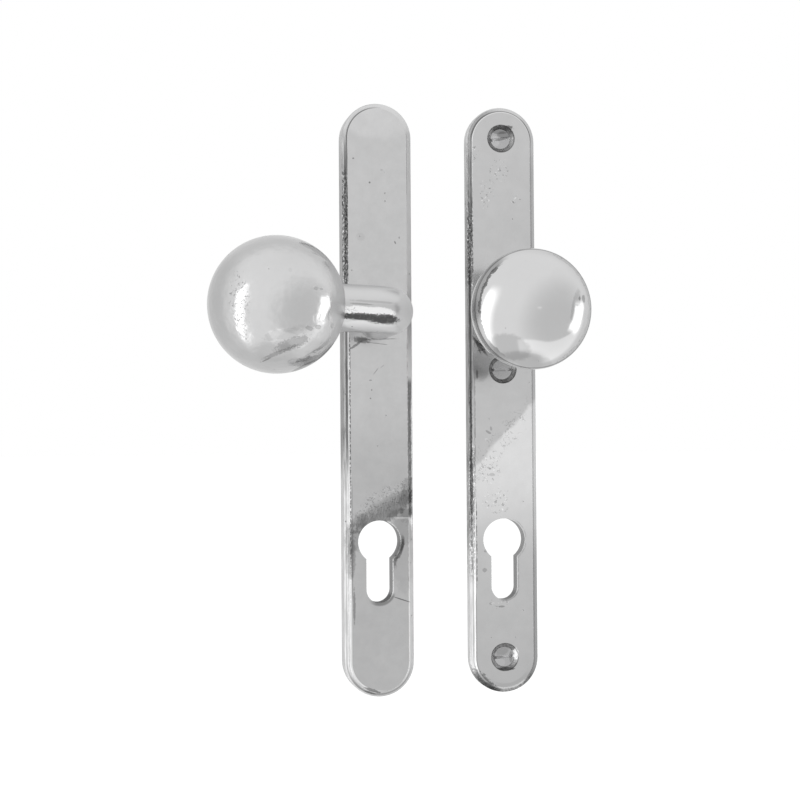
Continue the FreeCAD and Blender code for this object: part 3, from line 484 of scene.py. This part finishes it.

# A soft slanting border: below it the face is painted brighter, a painted reflection. The face is
# also darker towards its foot.
border_slope, border_height, border_wander = 1.07, -48.714, 8.0
border = calc(tree, "MULTIPLY_ADD", at.off, -border_slope, at.z)
border = calc(tree, "SUBTRACT", border, (border_height + border_wander / 2) * MM)
border = calc(tree, "MULTIPLY_ADD", noise(tree, point, 7.0, 4.0, 0.6), border_wander * MM, border)
halfway = calc(tree, "SUBTRACT", noise(tree, point, 2.4, 3.0, 0.6), 0.5)
worms = ramp(tree, calc(tree, "ABSOLUTE", halfway), 0.022, 0.006)
marks(inner, (
    (1.38, 0, grow(tree, border, 1.6, -1.6), level(-60, BEYOND, 44)),
    (0.92, 0, level(-BEYOND, -150, 50)),
    (0.62, 0.1, worms, span(tree, border, -6, 4, 3), span(tree, at.off, -9.8, 8.2, 3),
     ramp(tree, noise(tree, point, 4.5), 0.50, 0.58)),
))
# Scuffed patches with dark specks of dirt, and bright flecks that are painted glints.
speck = grains(tree, point, 1.4, 0.58, 0.63)
painted_glints = grains(tree, point, 1.2, 0.39, 0.34)
for across, height, half_width, half_height in (
    (-1.0, 61.0, 4.0, 5.5), (-6.3, 51.0, 3.4, 6.0), (5.8, 49.5, 2.8, 2.4), (-11.2, 68.0, 1.8, 3.4),
    (-5.3, -62.0, 4.6, 7.0), (-2.8, -76.0, 6.0, 6.0), (-2.3, -118.5, 5.0, 2.4),
):
    centre, radii = (at.middle + across, at.face, height), (half_width, 8, half_height)
    scuffed = spot(tree, point, centre, radii, 0, 0.6, 2.5)
    mark(inner, both(tree, scuffed, speck), 0.55, 0.08, 0.008)
    mark(inner, both(tree, scuffed, painted_glints), 1.30, 0.0, 0.005)

screw_heights = {}
for end, dull_and_shade in (("top", 0.62), ("middle", 0.46), ("bottom", 0.70)):
    low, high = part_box("plate_screw_" + end)
    screw_heights[end] = (low.z + high.z) / 2 / MM
    from_axis = capsule(tree, point, at.middle, screw_heights[end], screw_heights[end])
    cone = both(tree, grow(tree, from_axis, 5.95, 5.70), grow(tree, from_axis, 2.6, 2.9))
    # The countersinks are dull, and painted darker as painted shade.
    marks(inner, (
        (dull_and_shade, 0.22, cone),
        (0.50, 0, line(tree, from_axis, 5.62, 0.10, 0.16)),
        (0.62, 0, cone, grains(tree, point, 1.2, 0.46, 0.60, 0.6)),
    ))

spots(inner, at.middle, at.face, 8.0, (
    (-8.6, -18.5, 4.4, 8.0, -10, 0.35, 3.0, 0.78),
    (-9.6, -11.8, 5.0, 0.7, -52, 0.90, 0.5, 0.38),
    (-8.6, -11.6, 3.0, 0.35, -35, 0.70, 0.5, 0.50),
    (-10.2, -12.6, 3.0, 0.35, -68, 0.70, 0.5, 0.50),
    (-9.0, -13.4, 2.0, 0.30, 10, 0.70, 0.5, 0.50),
    (-10.9, -23.6, 0.5, 1.9, 0, 0.40, 1.0, 0.50),
    (-6.3, -47.5, 1.3, 0.5, -30, 0.70, 0.8, 0.66),
    (-5.2, -46.0, 0.5, 1.0, 10, 0.70, 0.8, 0.72),
    (-7.3, -50.5, 0.6, 0.6, 0, 0.70, 0.8, 1.15),
    (-4.9, -65.0, 1.2, 0.7, 0, 0.60, 0.8, 0.78),
    (-7.3, -96.5, 1.3, 0.7, 10, 0.60, 0.8, 0.74),
    (-1.3, -119.6, 1.4, 0.4, 0, 0.60, 0.8, 0.62),
    (-8.3, -104.5, 1.0, 0.9, 0, 0.60, 0.8, 0.72),
    (-5.3, -154.0, 5.0, 0.7, -14, 0.60, 1.1, 0.62),
))
# Painted shade and a painted highlight in the countersinks round the top and bottom screws.
spots(inner, at.middle, at.face + 1.0, 4.0, (
    (0.8, 78.8, 4.6, 1.3, 4, 0.70, 0.8, 0.34),
    (4.2, 76.6, 1.2, 1.6, 30, 0.60, 0.8, 0.60),
    (0.6, -145.4, 3.6, 0.7, 0, 0.40, 1.0, 0.34),
    (4.6, -139.5, 1.3, 2.7, 0, 0.50, 1.4, 2.10),
))
spots(inner, at.middle, at.face + 2.0, 6.0, (
    (-8.4, -151.0, 8.0, 2.4, -46, 1.00, 0.8, 0.46),
    (-5.3, -153.2, 5.0, 1.6, -28, 1.00, 0.6, 0.56),
))
mottle(inner, 0.12)

hole, front, wall, leg_foot = lock_hole(inner, at)
hole_right = both(tree, grow(tree, at.off, 3.0, 4.6), front)
# Painted shade on the wall inside the lock's hole, and a painted highlight along the lower right of
# its edge.
marks(inner, (
    (0.40, 0.25, wall),
    (1.25, 0, line(tree, hole, 0.16, 0.12, 0.12), hole_right, level(-BEYOND, -100, 2)),
    (0.80, 0, line(tree, hole, 0.55, 0.12, 0.30), hole_right, at.broken),
    (0.72, 0, line(tree, hole, 0.25, 0.20, 0.35), leg_foot, grow(tree, at.off, -2.8, 0.2)),
    (0.66, 0, wall, leg_foot),
))
cast_back(inner, at.y)
cad["inner_plate"].data.materials[0] = complete(inner)


# Plate screws: three slotted countersunk M5 screws, nickelled, that pass through the door into the
# bushes. Head and shank are kept from the solid; the thread is a real helix, cut off square.

M5 = {"crest": 2.5, "root": 2.04, "pitch": 0.8}
BLUNT_TIP = 0.1  # the thread ends this far before the screw does
STEPS_IN_A_TURN = 28
CUT_EXACTLY, MERGE_LOOSE, MERGE_TURNS, MERGE_CUTS = 1e-7, 1e-6, 2e-6, 2e-5
INTO_THE_DOOR, OUT_OF_THE_DOOR = Vector((0, 1, 0)), Vector((0, -1, 0))


def choose(*pieces):
    """Selects pieces, the last one as the active one."""
    bpy.ops.object.select_all(action="DESELECT")
    for piece in pieces:
        piece.select_set(True)
    bpy.context.view_layer.objects.active = pieces[-1]


def on_all(operation, **settings):
    """Runs a mesh operation on everything in the mesh that is being edited."""
    bpy.ops.mesh.select_all(action="SELECT")
    operation(**settings)


def head_of(name, own_name, axis, place):
    """A copy of a screw's solid, cut off square where its thread begins."""
    screw = cad[name].copy()
    screw.data = cad[name].data.copy()
    screw.parent = None
    screw.name = own_name
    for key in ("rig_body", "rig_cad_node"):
        del screw[key]
    bpy.context.scene.collection.objects.link(screw)
    choose(screw)
    bpy.ops.object.mode_set(mode="EDIT")
    on_all(bpy.ops.mesh.remove_doubles, threshold=MERGE_LOOSE)
    bpy.ops.mesh.customdata_custom_splitnormals_clear()
    on_all(bpy.ops.mesh.bisect, plane_co=place, plane_no=axis, use_fill=True, clear_outer=True,
           threshold=CUT_EXACTLY)
    bpy.ops.object.mode_set(mode="OBJECT")
    return screw


def helix(axis, first, last, crest, root, pitch):
    """A thread: the outline of one groove wound up round the axis, cut at both ends and closed."""
    flat, flank = 0.12 * pitch, 0.38 * pitch
    bpy.ops.object.select_all(action="DESELECT")
    bpy.ops.mesh.primitive_plane_add(size=MM)
    thread = bpy.context.object
    bpy.ops.object.mode_set(mode="EDIT")
    on_all(bpy.ops.mesh.merge, type="CENTER")
    bpy.ops.transform.translate(value=(root * MM, 0, 0))
    for out, along in ((0, flat), (crest - root, flank), (0, flat), (root - crest, flank)):
        step = {"value": (out * MM, 0, along * MM)}
        bpy.ops.mesh.extrude_vertices_move(TRANSFORM_OT_translate=step)
    bpy.ops.object.mode_set(mode="OBJECT")
    winding = thread.modifiers.new("helix", "SCREW")
    winding.screw_offset = pitch * MM
    winding.iterations = int((last - first).length / (pitch * MM)) + 3
    winding.steps = winding.render_steps = STEPS_IN_A_TURN
    winding.use_merge_vertices = False
    bpy.ops.object.modifier_apply(modifier="helix")
    thread.rotation_mode = "QUATERNION"
    thread.rotation_quaternion = Vector((0, 0, 1)).rotation_difference(axis)
    thread.location = first - axis * pitch * 1.5 * MM
    bpy.ops.object.transform_apply(location=True, rotation=True, scale=True)
    bpy.ops.object.mode_set(mode="EDIT")
    on_all(bpy.ops.mesh.remove_doubles, threshold=MERGE_TURNS)
    for place, outward in ((last, axis), (first, -axis)):
        on_all(bpy.ops.mesh.bisect, plane_co=place, plane_no=outward, clear_outer=True,
               threshold=CUT_EXACTLY)
    on_all(bpy.ops.mesh.remove_doubles, threshold=MERGE_CUTS)
    on_all(bpy.ops.mesh.fill_holes, sides=0)
    on_all(bpy.ops.mesh.normals_make_consistent, inside=False)
    bpy.ops.object.mode_set(mode="OBJECT")
    return thread


def threaded(name, own_name, axis, start, size, metal):
    """Gives a screw a cut thread from start, counted in mm along its axis, to its tip."""
    low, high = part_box(name)
    middle = (low + high) / 2
    foot = middle - axis * middle.dot(axis)
    tip = max(low.dot(axis), high.dot(axis))
    first, last = foot + axis * start * MM, foot + axis * (tip - BLUNT_TIP * MM)
    screw = head_of(name, own_name, axis, first)
    thread = helix(axis, first, last, **size)
    thread.data.materials.append(metal)
    screw.data.materials[0] = metal
    choose(thread, screw)
    bpy.ops.object.join()
    bpy.ops.object.shade_smooth_by_angle(angle=math.radians(28))
    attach(screw, "plates")
    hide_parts(name)


nickel = aged_metal("screw_nickel", (0.47, 0.47, 0.474, 1.0), 0.24, cloud=0.16, pits=0.5)
tree, point = nickel["tree"], nickel["point"]
y = parts(tree, point)[1]
# Painted highlight in the heads' slots.
mark(nickel, both(tree, grow(tree, y, -5.44, -5.34), grow(tree, y, -4.2, -4.3)), 1.30, 0.25)
# Patches on the heads painted darker and brighter: painted shade and painted highlights of their
# facets.
for end, across, up, ahead, half_width, half_height, turn, ragged, tone in (
    ("top", 1.4, 1.7, 5.5, 2.8, 1.7, -10, 0.5, 0.60),
    ("top", -0.2, 3.1, 5.5, 3.6, 1.0, 0, 0.5, 0.62),
    ("top", -0.4, -0.2, 5.5, 2.0, 0.45, 6, 0.4, 0.55),
    ("top", -2.2, -0.9, 5.5, 1.8, 2.4, 20, 0.5, 1.18),
    ("middle", -0.8, -0.1, 5.2, 2.6, 0.5, 0, 0.4, 0.84),
    ("bottom", -0.8, 2.5, 5.5, 3.0, 1.8, 20, 0.5, 0.80),
    ("bottom", -1.8, -1.9, 5.5, 2.4, 1.6, -30, 0.5, 1.15),
    ("bottom", 2.8, -0.1, 5.5, 0.7, 2.6, 0, 0.3, 0.70),
    ("bottom", -2.4, -0.2, 4.8, 2.4, 0.55, 2, 0.4, 0.60),
):
    centre = (at.middle + across, -ahead, screw_heights[end] + up)
    mark(nickel, spot(tree, point, centre, (half_width, 3, half_height), turn, ragged, 1.4), tone)
screw_metal = complete(nickel)
for end in ("top", "middle", "bottom"):
    threaded("plate_screw_" + end, "slotted_screw_" + end, INTO_THE_DOOR, start=10.45, size=M5,
             metal=screw_metal)


# Guard: a hardened steel plate let into the back of the outer plate round the lock cylinder, dark
# from its heat treatment and held by two countersunk screws.

M3 = {"crest": 1.5, "root": 1.19, "pitch": 0.5}
HARDENED = (0.20, 0.20, 0.215, 1.0)
ZINC = (0.50, 0.51, 0.53, 1.0)
guard = aged_metal("hardened_steel_scale", HARDENED, 0.38, cloud=0.16, pits=0.4)
cad["anti_drill_plate"].data.materials[0] = complete(guard)
plain_screw = complete(aged_metal("zinc_screw", ZINC, 0.30, cloud=0.10))
for end in ("upper", "lower"):
    threaded("anti_drill_screw_" + end, "guard_screw_" + end, OUT_OF_THE_DOOR, start=1.65, size=M3,
             metal=plain_screw)


# Threaded bushes: three turned steel pillars pressed into the back of the outer plate, which take
# the through screws from the inside of the door.

bush_steel = complete(aged_metal("turned_bush_steel", ZINC, 0.28, cloud=0.08))
for end in ("top", "middle", "bottom"):
    cad["threaded_bush_" + end].data.materials[0] = bush_steel


# Neck: a cast and chromed arm that rises from the outer plate and turns to the ball. A painted
# highlight runs along its front, with a ragged painted dark reflection under it, and it is held by
# two screws from behind.

neck = aged_metal("neck_chrome", CHROME, 0.32, wave=0.05)
tree, point = neck["tree"], neck["point"]
x = parts(tree, point)[0]
# Painted shade along the underside of the arm, a lighter painted reflection just above it, and two
# faint dark painted reflection lines above the front's middle.
for centre, radii, turn, ragged, grain_size, tone in (
    ((-8.0, -58.0, -9.6), (12.5, 14, 0.80), -4.0, 0.35, 2.0, 0.50),
    ((-9.0, -58.0, -6.8), (12.5, 14, 1.9), -4.0, 0.30, 2.5, 1.22),
    ((-9.0, -60.0, 2.6), (9.0, 12, 0.45), -3.0, 0.50, 2.0, 0.84),
    ((-14.0, -60.0, 1.6), (5.0, 12, 0.35), -3.0, 0.80, 0.8, 0.70),
):
    mark(neck, spot(tree, point, centre, radii, turn, ragged, grain_size), tone, 0.1)
# A painted highlight along the front and a painted dark reflection under it, with painted glints in
# it.
painted_highlight = calc(tree, "MAXIMUM",
              spot(tree, point, (-14.8, -61.0, -0.85), (7.6, 14, 1.75), -3.0, 0.40, 0.7),
              spot(tree, point, (-7.2, -61.0, -1.30), (7.0, 14, 1.85), -3.0, 0.40, 0.7))
painted_dark_band = calc(tree, "MAXIMUM",
             spot(tree, point, (-13.0, -61.0, -3.20), (10.5, 14, 1.35), -2.0, 0.90, 0.6),
             spot(tree, point, (-5.0, -60.5, -3.95), (7.0, 14, 1.95), -2.0, 0.80, 0.6))
elbow = spot(tree, point, (8.6, -53.0, 0.0), (7.5, 22, 15.0), 0, 0.25, 4.0)
marks(neck, (
    (1.70, 0.1, painted_highlight),
    (0.55, 0.1, painted_highlight, grow(tree, x, -14, -18), grains(tree, point, 0.7, 0.52, 0.62)),
    (0.15, 0.2, painted_dark_band),
    (2.60, 0, painted_dark_band, ramp(tree, noise(tree, point, 0.6, 2.0, 0.6), 0.60, 0.68)),
    (1.13, 0.40, elbow),
))
cad["knob_neck"].data.materials[0] = complete(neck)
for end in ("upper", "lower"):
    threaded("neck_screw_" + end, "countersunk_screw_" + end, OUT_OF_THE_DOOR, start=4.05, size=M5,
             metal=plain_screw)


# Ball knob: a solid ball, slightly uneven from casting and hand polishing, with pits where the
# plating has broken and dull smears underneath. A steel stud inside joins it to the neck.

ball = aged_metal("ball_chrome", CHROME, 0.15, cloud=0.08, wave=0.30)
tree, point = ball["tree"], ball["point"]
x = parts(tree, point)[0]
for dents, depth in ((noise(tree, point, 2.0, 3.0, 0.6), 0.06), (noise(tree, point, 4.5), 0.14)):
    ball["height"] = calc(tree, "MULTIPLY_ADD", dents, depth * MM, ball["height"])
# Pits and smears. The last three marks are dark arcs at the rim, painted reflections.
for centre, radii, turn, ragged, grain_size, tone, sink in (
    ((-33.5, -78.0, 6.2), (1.1, 4, 0.8), 0, 0.60, 0.7, 0.80, 0.08),
    ((-31.3, -76.6, 6.0), (0.8, 4, 0.5), 0, 0.60, 0.7, 0.82, 0.06),
    ((-36.0, -77.4, -8.6), (1.7, 4, 0.8), -14, 0.70, 0.7, 0.76, 0.08),
    ((-32.5, -75.7, -8.1), (1.2, 4, 0.7), 0, 0.70, 0.7, 0.80, 0.08),
    ((-26.3, -70.2, -7.4), (0.9, 4, 0.9), 0, 0.30, 0.9, 0.88, 0.10),
    ((-42.5, -75.5, -14.4), (6.5, 8, 2.0), 20, 1.20, 0.7, 0.72, 0.04),
    ((-48.0, -75.0, -18.0), (7.5, 8, 0.8), 22, 1.20, 0.6, 0.70, 0.04),
    ((-45.5, -77.5, -10.9), (8.0, 6, 2.0), 10, 0.60, 2.5, 0.86, 0.0),
    ((-52.0, -74.0, -20.4), (3.0, 8, 0.35), 24, 0.60, 0.9, 0.55, 0.03),
    ((-41.0, -78.0, -12.0), (7.5, 8, 4.2), 20, 0.40, 3.0, 0.92, 0.0),
    ((-43.2, -78.9, 12.8), (0.7, 4, 0.9), 0, 0.40, 1.0, 0.94, 0.03),
    ((-36.2, -62.0, -22.6), (8.0, 9, 1.0), 26, 0.30, 1.0, 0.48, 0.0),
    ((-28.2, -60.0, -17.6), (6.0, 9, 0.8), 47, 0.30, 1.0, 0.50, 0.0),
    ((-30.5, -61.0, 22.6), (8.5, 9, 0.5), -42, 0.30, 1.0, 0.66, 0.0),
):
    mark(ball, spot(tree, point, centre, radii, turn, ragged, grain_size), tone, 0.05, sink)
pitted = both(tree, spot(tree, point, (-61.5, -75.0, 1.0), (3.6, 10, 12.0), 6, 0.8, 2.0),
              ramp(tree, noise(tree, point, 1.1, 4.0, 0.8), 0.575, 0.62))
mark(ball, pitted, 0.60, 0.1, 0.06)
# The ball is painted darker on its far side and a little darker at its top and bottom, as painted
# shade. Next to the neck it is a touch darker and rougher.
neck_side, painted_shade_side = grow(tree, x, -31, -23), grow(tree, x, -58, -71)
marks(ball, (
    (0.97, 0.28, neck_side),
    (0.84, 0, painted_shade_side),
    (0.98, 0, spot(tree, point, (-46.0, -64.0, 20.0), (26, 20, 13.0), 0, 0.3, 9.0)),
    (0.93, 0, spot(tree, point, (-44.0, -64.0, -20.0), (22, 20, 9.0), 0, 0.3, 9.0)),
))
cad["ball_knob"].data.materials[0] = complete(ball)
cad["ball_stud"].data.materials[0] = plain_screw


# Bearing stack: a flanged brass bush in the inner plate carries the knob's journal. A nylon washer
# lies under the knob's collar, and a steel washer and an open ring behind the plate keep it in.

BRASS = (0.74, 0.53, 0.25, 1.0)
SPRING_STEEL = (0.36, 0.36, 0.37, 1.0)
NYLON = (0.72, 0.71, 0.68, 1.0)
cad["knob_bearing"].data.materials[0] = complete(aged_metal("turned_brass", BRASS, 0.24, cloud=0.10))
ring_steel = complete(aged_metal("spring_steel", SPRING_STEEL, 0.30, cloud=0.10))
cad["retaining_ring"].data.materials[0] = ring_steel
cad["retaining_washer"].data.materials[0] = plain_screw
nylon = aged_metal("white_nylon", NYLON, 0.45, cloud=0.03, pits=0.0)
nylon["shader"].inputs["Metallic"].default_value = 0.0
cad["thrust_washer"].data.materials[0] = complete(nylon)


# Mushroom knob: turned in one piece with its shank and journal, then chromed. The head is polished
# like a mirror inside a worn band at its rim. The band is painted darker on the left than on the
# right, as painted shade. An 8 mm steel square driven by it works the lock.

mushroom = aged_metal("mushroom_chrome", CHROME, 0.10, cloud=0.04, wave=0.03)
tree, point = mushroom["tree"], mushroom["point"]
x, y, z = parts(tree, point)
low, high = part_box("spindle")
axis = (low.x + high.x) / 2 / MM
off = calc(tree, "SUBTRACT", x, axis * MM)
reach = capsule(tree, point, axis, 0.0, 0.0)
wander = calc(tree, "SUBTRACT", reach, 1.1 * MM)
torn = calc(tree, "MULTIPLY_ADD", noise(tree, point, 2.2, 4.0, 0.65), 2.2 * MM, wander)
front = grow(tree, y, -57.5, -58.5)
band = both(tree, grow(tree, torn, 21.4, 21.7), front)
left = grow(tree, off, -8.8, -14.8)
# The worn band round the rim is painted darker on its left side than on its right, as painted shade.
marks(mushroom, (
    (0.56, 0.15, band, left, grow(tree, off, -2.8, -12.8)),
    (0.84, 0.15, band, grow(tree, off, 3.2, 13.2)),
    (0.30, 0.1, line(tree, torn, 21.4, 0.34, 0.20), left, front, span(tree, z, -1, 15, 3)),
    (0.60, 0.1, line(tree, reach, 23.0, 0.10, 0.15), front),
    (0.66, 0.1, line(tree, reach, 22.3, 0.50, 0.40), front, grow(tree, off, 5.2, 9.2),
     grains(tree, point, 1.1, 0.56, 0.64)),
))
# Pits and a faint darker patch. A darker stripe inside the right highlight and two darker patches low
# on the left of the head are painted reflections.
for (across, y_place, height), radii, turn, ragged, grain_size, tone in (
    ((19.0, -65.0, 3.6), (0.8, 8, 1.6), 0, 0.60, 0.8, 0.60),
    ((17.5, -65.0, 0.6), (0.6, 8, 0.6), 0, 0.40, 0.8, 0.80),
    ((10.7, -68.0, 10.0), (6.0, 12, 6.0), 0, 0.50, 5.0, 0.98),
    ((15.2, -68.0, 0.5), (1.9, 14, 7.0), -14, 0.35, 1.5, 0.80),
    ((-9.8, -66.0, -15.0), (8.0, 14, 4.6), -24, 0.30, 2.5, 0.77),
    ((-2.4, -64.0, -20.0), (10.5, 14, 2.8), -12, 0.35, 3.0, 0.85),
    ((17.1, -65.0, 3.6), (0.5, 8, 1.0), 0, 0.60, 0.8, 0.55),
    ((15.8, -65.0, 1.0), (0.9, 8, 0.5), 0, 0.60, 0.8, 0.75),
):
    centre = (axis + across, y_place, height)
    mark(mushroom, spot(tree, point, centre, radii, turn, ragged, grain_size), tone)
cad["inner_knob"].data.materials[0] = complete(mushroom)
drawn = aged_metal("drawn_steel", (0.42, 0.42, 0.43, 1.0), 0.34, cloud=0.12, pits=0.4)
cad["spindle"].data.materials[0] = complete(drawn)
cad["knob_grub_screw"].data.materials[0] = ring_steel


# Floor: a wide pale sheet below the set. To the camera it glows a little, so that it shows white,
# and it glows less right below the set, so that it keeps a soft shadow there; the weaker glow also
# paints a soft grey patch round the set.

FLOOR_SIZE, FLOOR_HEIGHT, FLOOR_GREY = 60.0, -0.30, 0.85
GLOW_BELOW, GLOW_BEYOND, NEAR, FAR = 0.08, 0.30, 0.10, 0.34
bpy.ops.object.select_all(action="DESELECT")
bpy.ops.mesh.primitive_plane_add(size=FLOOR_SIZE, location=(0.0, 0.0, FLOOR_HEIGHT))
floor = bpy.context.object
floor.name = "floor"
floor.visible_glossy = False
pale = bpy.data.materials.new("pale_floor")
pale.use_nodes = True
tree = pale.node_tree
shader = tree.nodes["Principled BSDF"]
shader.inputs["Base Color"].default_value = (FLOOR_GREY, FLOOR_GREY, FLOOR_GREY, 1.0)
shader.inputs["Roughness"].default_value = 0.9
shader.inputs["Specular IOR Level"].default_value = 0.0
shader.inputs["Emission Color"].default_value = (1.0, 1.0, 1.0, 1.0)
path = node(tree, "ShaderNodeLightPath").outputs
place = node(tree, "ShaderNodeTexCoord").outputs["Object"]
from_set = vector_calc(tree, "LENGTH", place)["Value"]
glow = ramp(tree, from_set, NEAR, FAR, GLOW_BELOW, GLOW_BEYOND)
glow = calc(tree, "MULTIPLY", path["Is Camera Ray"], glow)
tree.links.new(glow, shader.inputs["Emission Strength"])
floor.data.materials.append(pale)


# Light: white all round, to the camera and as lighting. Polished metal mirrors a room instead: a
# little darker behind the set and at the front's right, with a window at each side and a bright
# strip low in front.

world = bpy.data.worlds.new("studio")
bpy.context.scene.world = world
world.use_nodes = True
world.cycles.sampling_method = "NONE"
tree = world.node_tree
background = tree.nodes["Background"]
path = node(tree, "ShaderNodeLightPath").outputs
direction = node(tree, "ShaderNodeTexCoord").outputs["Generated"]
toward = parts(tree, direction)
ahead = calc(tree, "MULTIPLY", toward[1], -1.0)
turn = calc(tree, "MULTIPLY", calc(tree, "ARCTAN2", toward[0], ahead), math.degrees(1))
rise = calc(tree, "MULTIPLY", calc(tree, "ARCSINE", toward[2]), math.degrees(1))


def window(tree, left, right, low, high, left_soft, right_soft, high_soft, slant):
    """1 inside a window of directions, in degrees round and above, with soft and leaning sides."""
    leaning = calc(tree, "MULTIPLY_ADD", rise, -slant, turn)
    return both(tree, ramp(tree, leaning, left - left_soft, left + left_soft),
                ramp(tree, leaning, right + right_soft, right - right_soft),
                ramp(tree, rise, low - high_soft, low + high_soft),
                ramp(tree, rise, high + high_soft, high - high_soft))


left_window = window(tree, left=-77, right=-62, low=-46, high=26,
                     left_soft=2, right_soft=11, high_soft=12, slant=0.30)
right_window = window(tree, left=73, right=92, low=-21, high=8,
                      left_soft=2, right_soft=3, high_soft=5, slant=0.25)
grey_side = (0.683, -0.683, -0.259)  # 45 degrees to the right of the front and 15 below
toward_grey = vector_calc(tree, "DOT_PRODUCT", direction, grey_side)["Value"]
room = ramp(tree, toward[1], 0.0, 0.5, 1.0, 0.80)
room = calc(tree, "MULTIPLY", room, ramp(tree, toward_grey, 0.35, 0.97, 1.05, 0.78))
room = calc(tree, "MULTIPLY_ADD", left_window, 1.35, room)
room = calc(tree, "MULTIPLY_ADD", right_window, 1.40, room)
room = calc(tree, "MULTIPLY", room, ramp(tree, rise, -72, -58, 0.84, 1.0))
swing = calc(tree, "MAXIMUM", calc(tree, "SUBTRACT", turn, 30.0), 0.0)
strip_top = calc(tree, "MULTIPLY_ADD", calc(tree, "MULTIPLY", swing, swing), 0.010, -46.0)
strip = both(tree, ramp(tree, calc(tree, "SUBTRACT", rise, strip_top), 0.8, -0.8),
             ramp(tree, turn, -26, -20), ramp(tree, turn, 98, 88), ramp(tree, rise, -74, -60))
room = calc(tree, "MULTIPLY_ADD", strip, 0.34, room)
shown = calc(tree, "MULTIPLY_ADD", path["Is Glossy Ray"], calc(tree, "SUBTRACT", room, 1.0), 1.0)
plain = calc(tree, "MULTIPLY_ADD", path["Is Diffuse Ray"], -0.1, shown)
tree.links.new(plain, background.inputs["Strength"])
background.inputs["Color"].default_value = (1.0, 1.0, 1.0, 1.0)

KEY_WIDTH, KEY_POWER, KEY_PLACE = 1.4, 6.0, (-0.9, -1.3, 1.3)
key = bpy.data.lights.new("key_softbox", "AREA")
key.shape, key.size, key.energy = "DISK", KEY_WIDTH, KEY_POWER
key_lamp = bpy.data.objects.new("key_softbox", key)
key_lamp.location = KEY_PLACE
to_set = Vector((0, 0, -0.03)) - key_lamp.location
key_lamp.rotation_euler = to_set.to_track_quat("-Z", "Y").to_euler()
key_lamp.visible_glossy = False
bpy.context.scene.collection.objects.link(key_lamp)


# Camera: level with the middle of the set, a little to its left and upright but for half a degree.

YAW, PITCH, ROLL = math.radians(-9.3411), math.radians(-1.1479), math.radians(-0.3856)
DISTANCE, SENSOR_WIDTH, PIXELS_ACROSS, FOCAL_PIXELS = 0.8, 36.0, 800, 1944.01
aim = Vector((9.6779, -6.0, -34.0277)) * MM
back = Vector((math.sin(YAW) * math.cos(PITCH), -math.cos(YAW) * math.cos(PITCH), math.sin(PITCH)))
right = (-back).cross(Vector((0, 0, 1))).normalized()
above = right.cross(-back)
turned_right = right * math.cos(ROLL) + above * math.sin(ROLL)
turned_above = above * math.cos(ROLL) - right * math.sin(ROLL)
lens = bpy.data.cameras.new("camera")
lens.sensor_width = SENSOR_WIDTH
lens.lens = FOCAL_PIXELS / PIXELS_ACROSS * SENSOR_WIDTH
lens.clip_start, lens.clip_end = 0.01, 100.0
camera = bpy.data.objects.new("camera", lens)
bpy.context.scene.collection.objects.link(camera)
facing = Matrix((turned_right, turned_above, back)).transposed().to_4x4()
camera.matrix_world = Matrix.Translation(aim + back * DISTANCE) @ facing
bpy.context.scene.camera = camera
bpy.context.scene.view_settings.view_transform = "Standard"
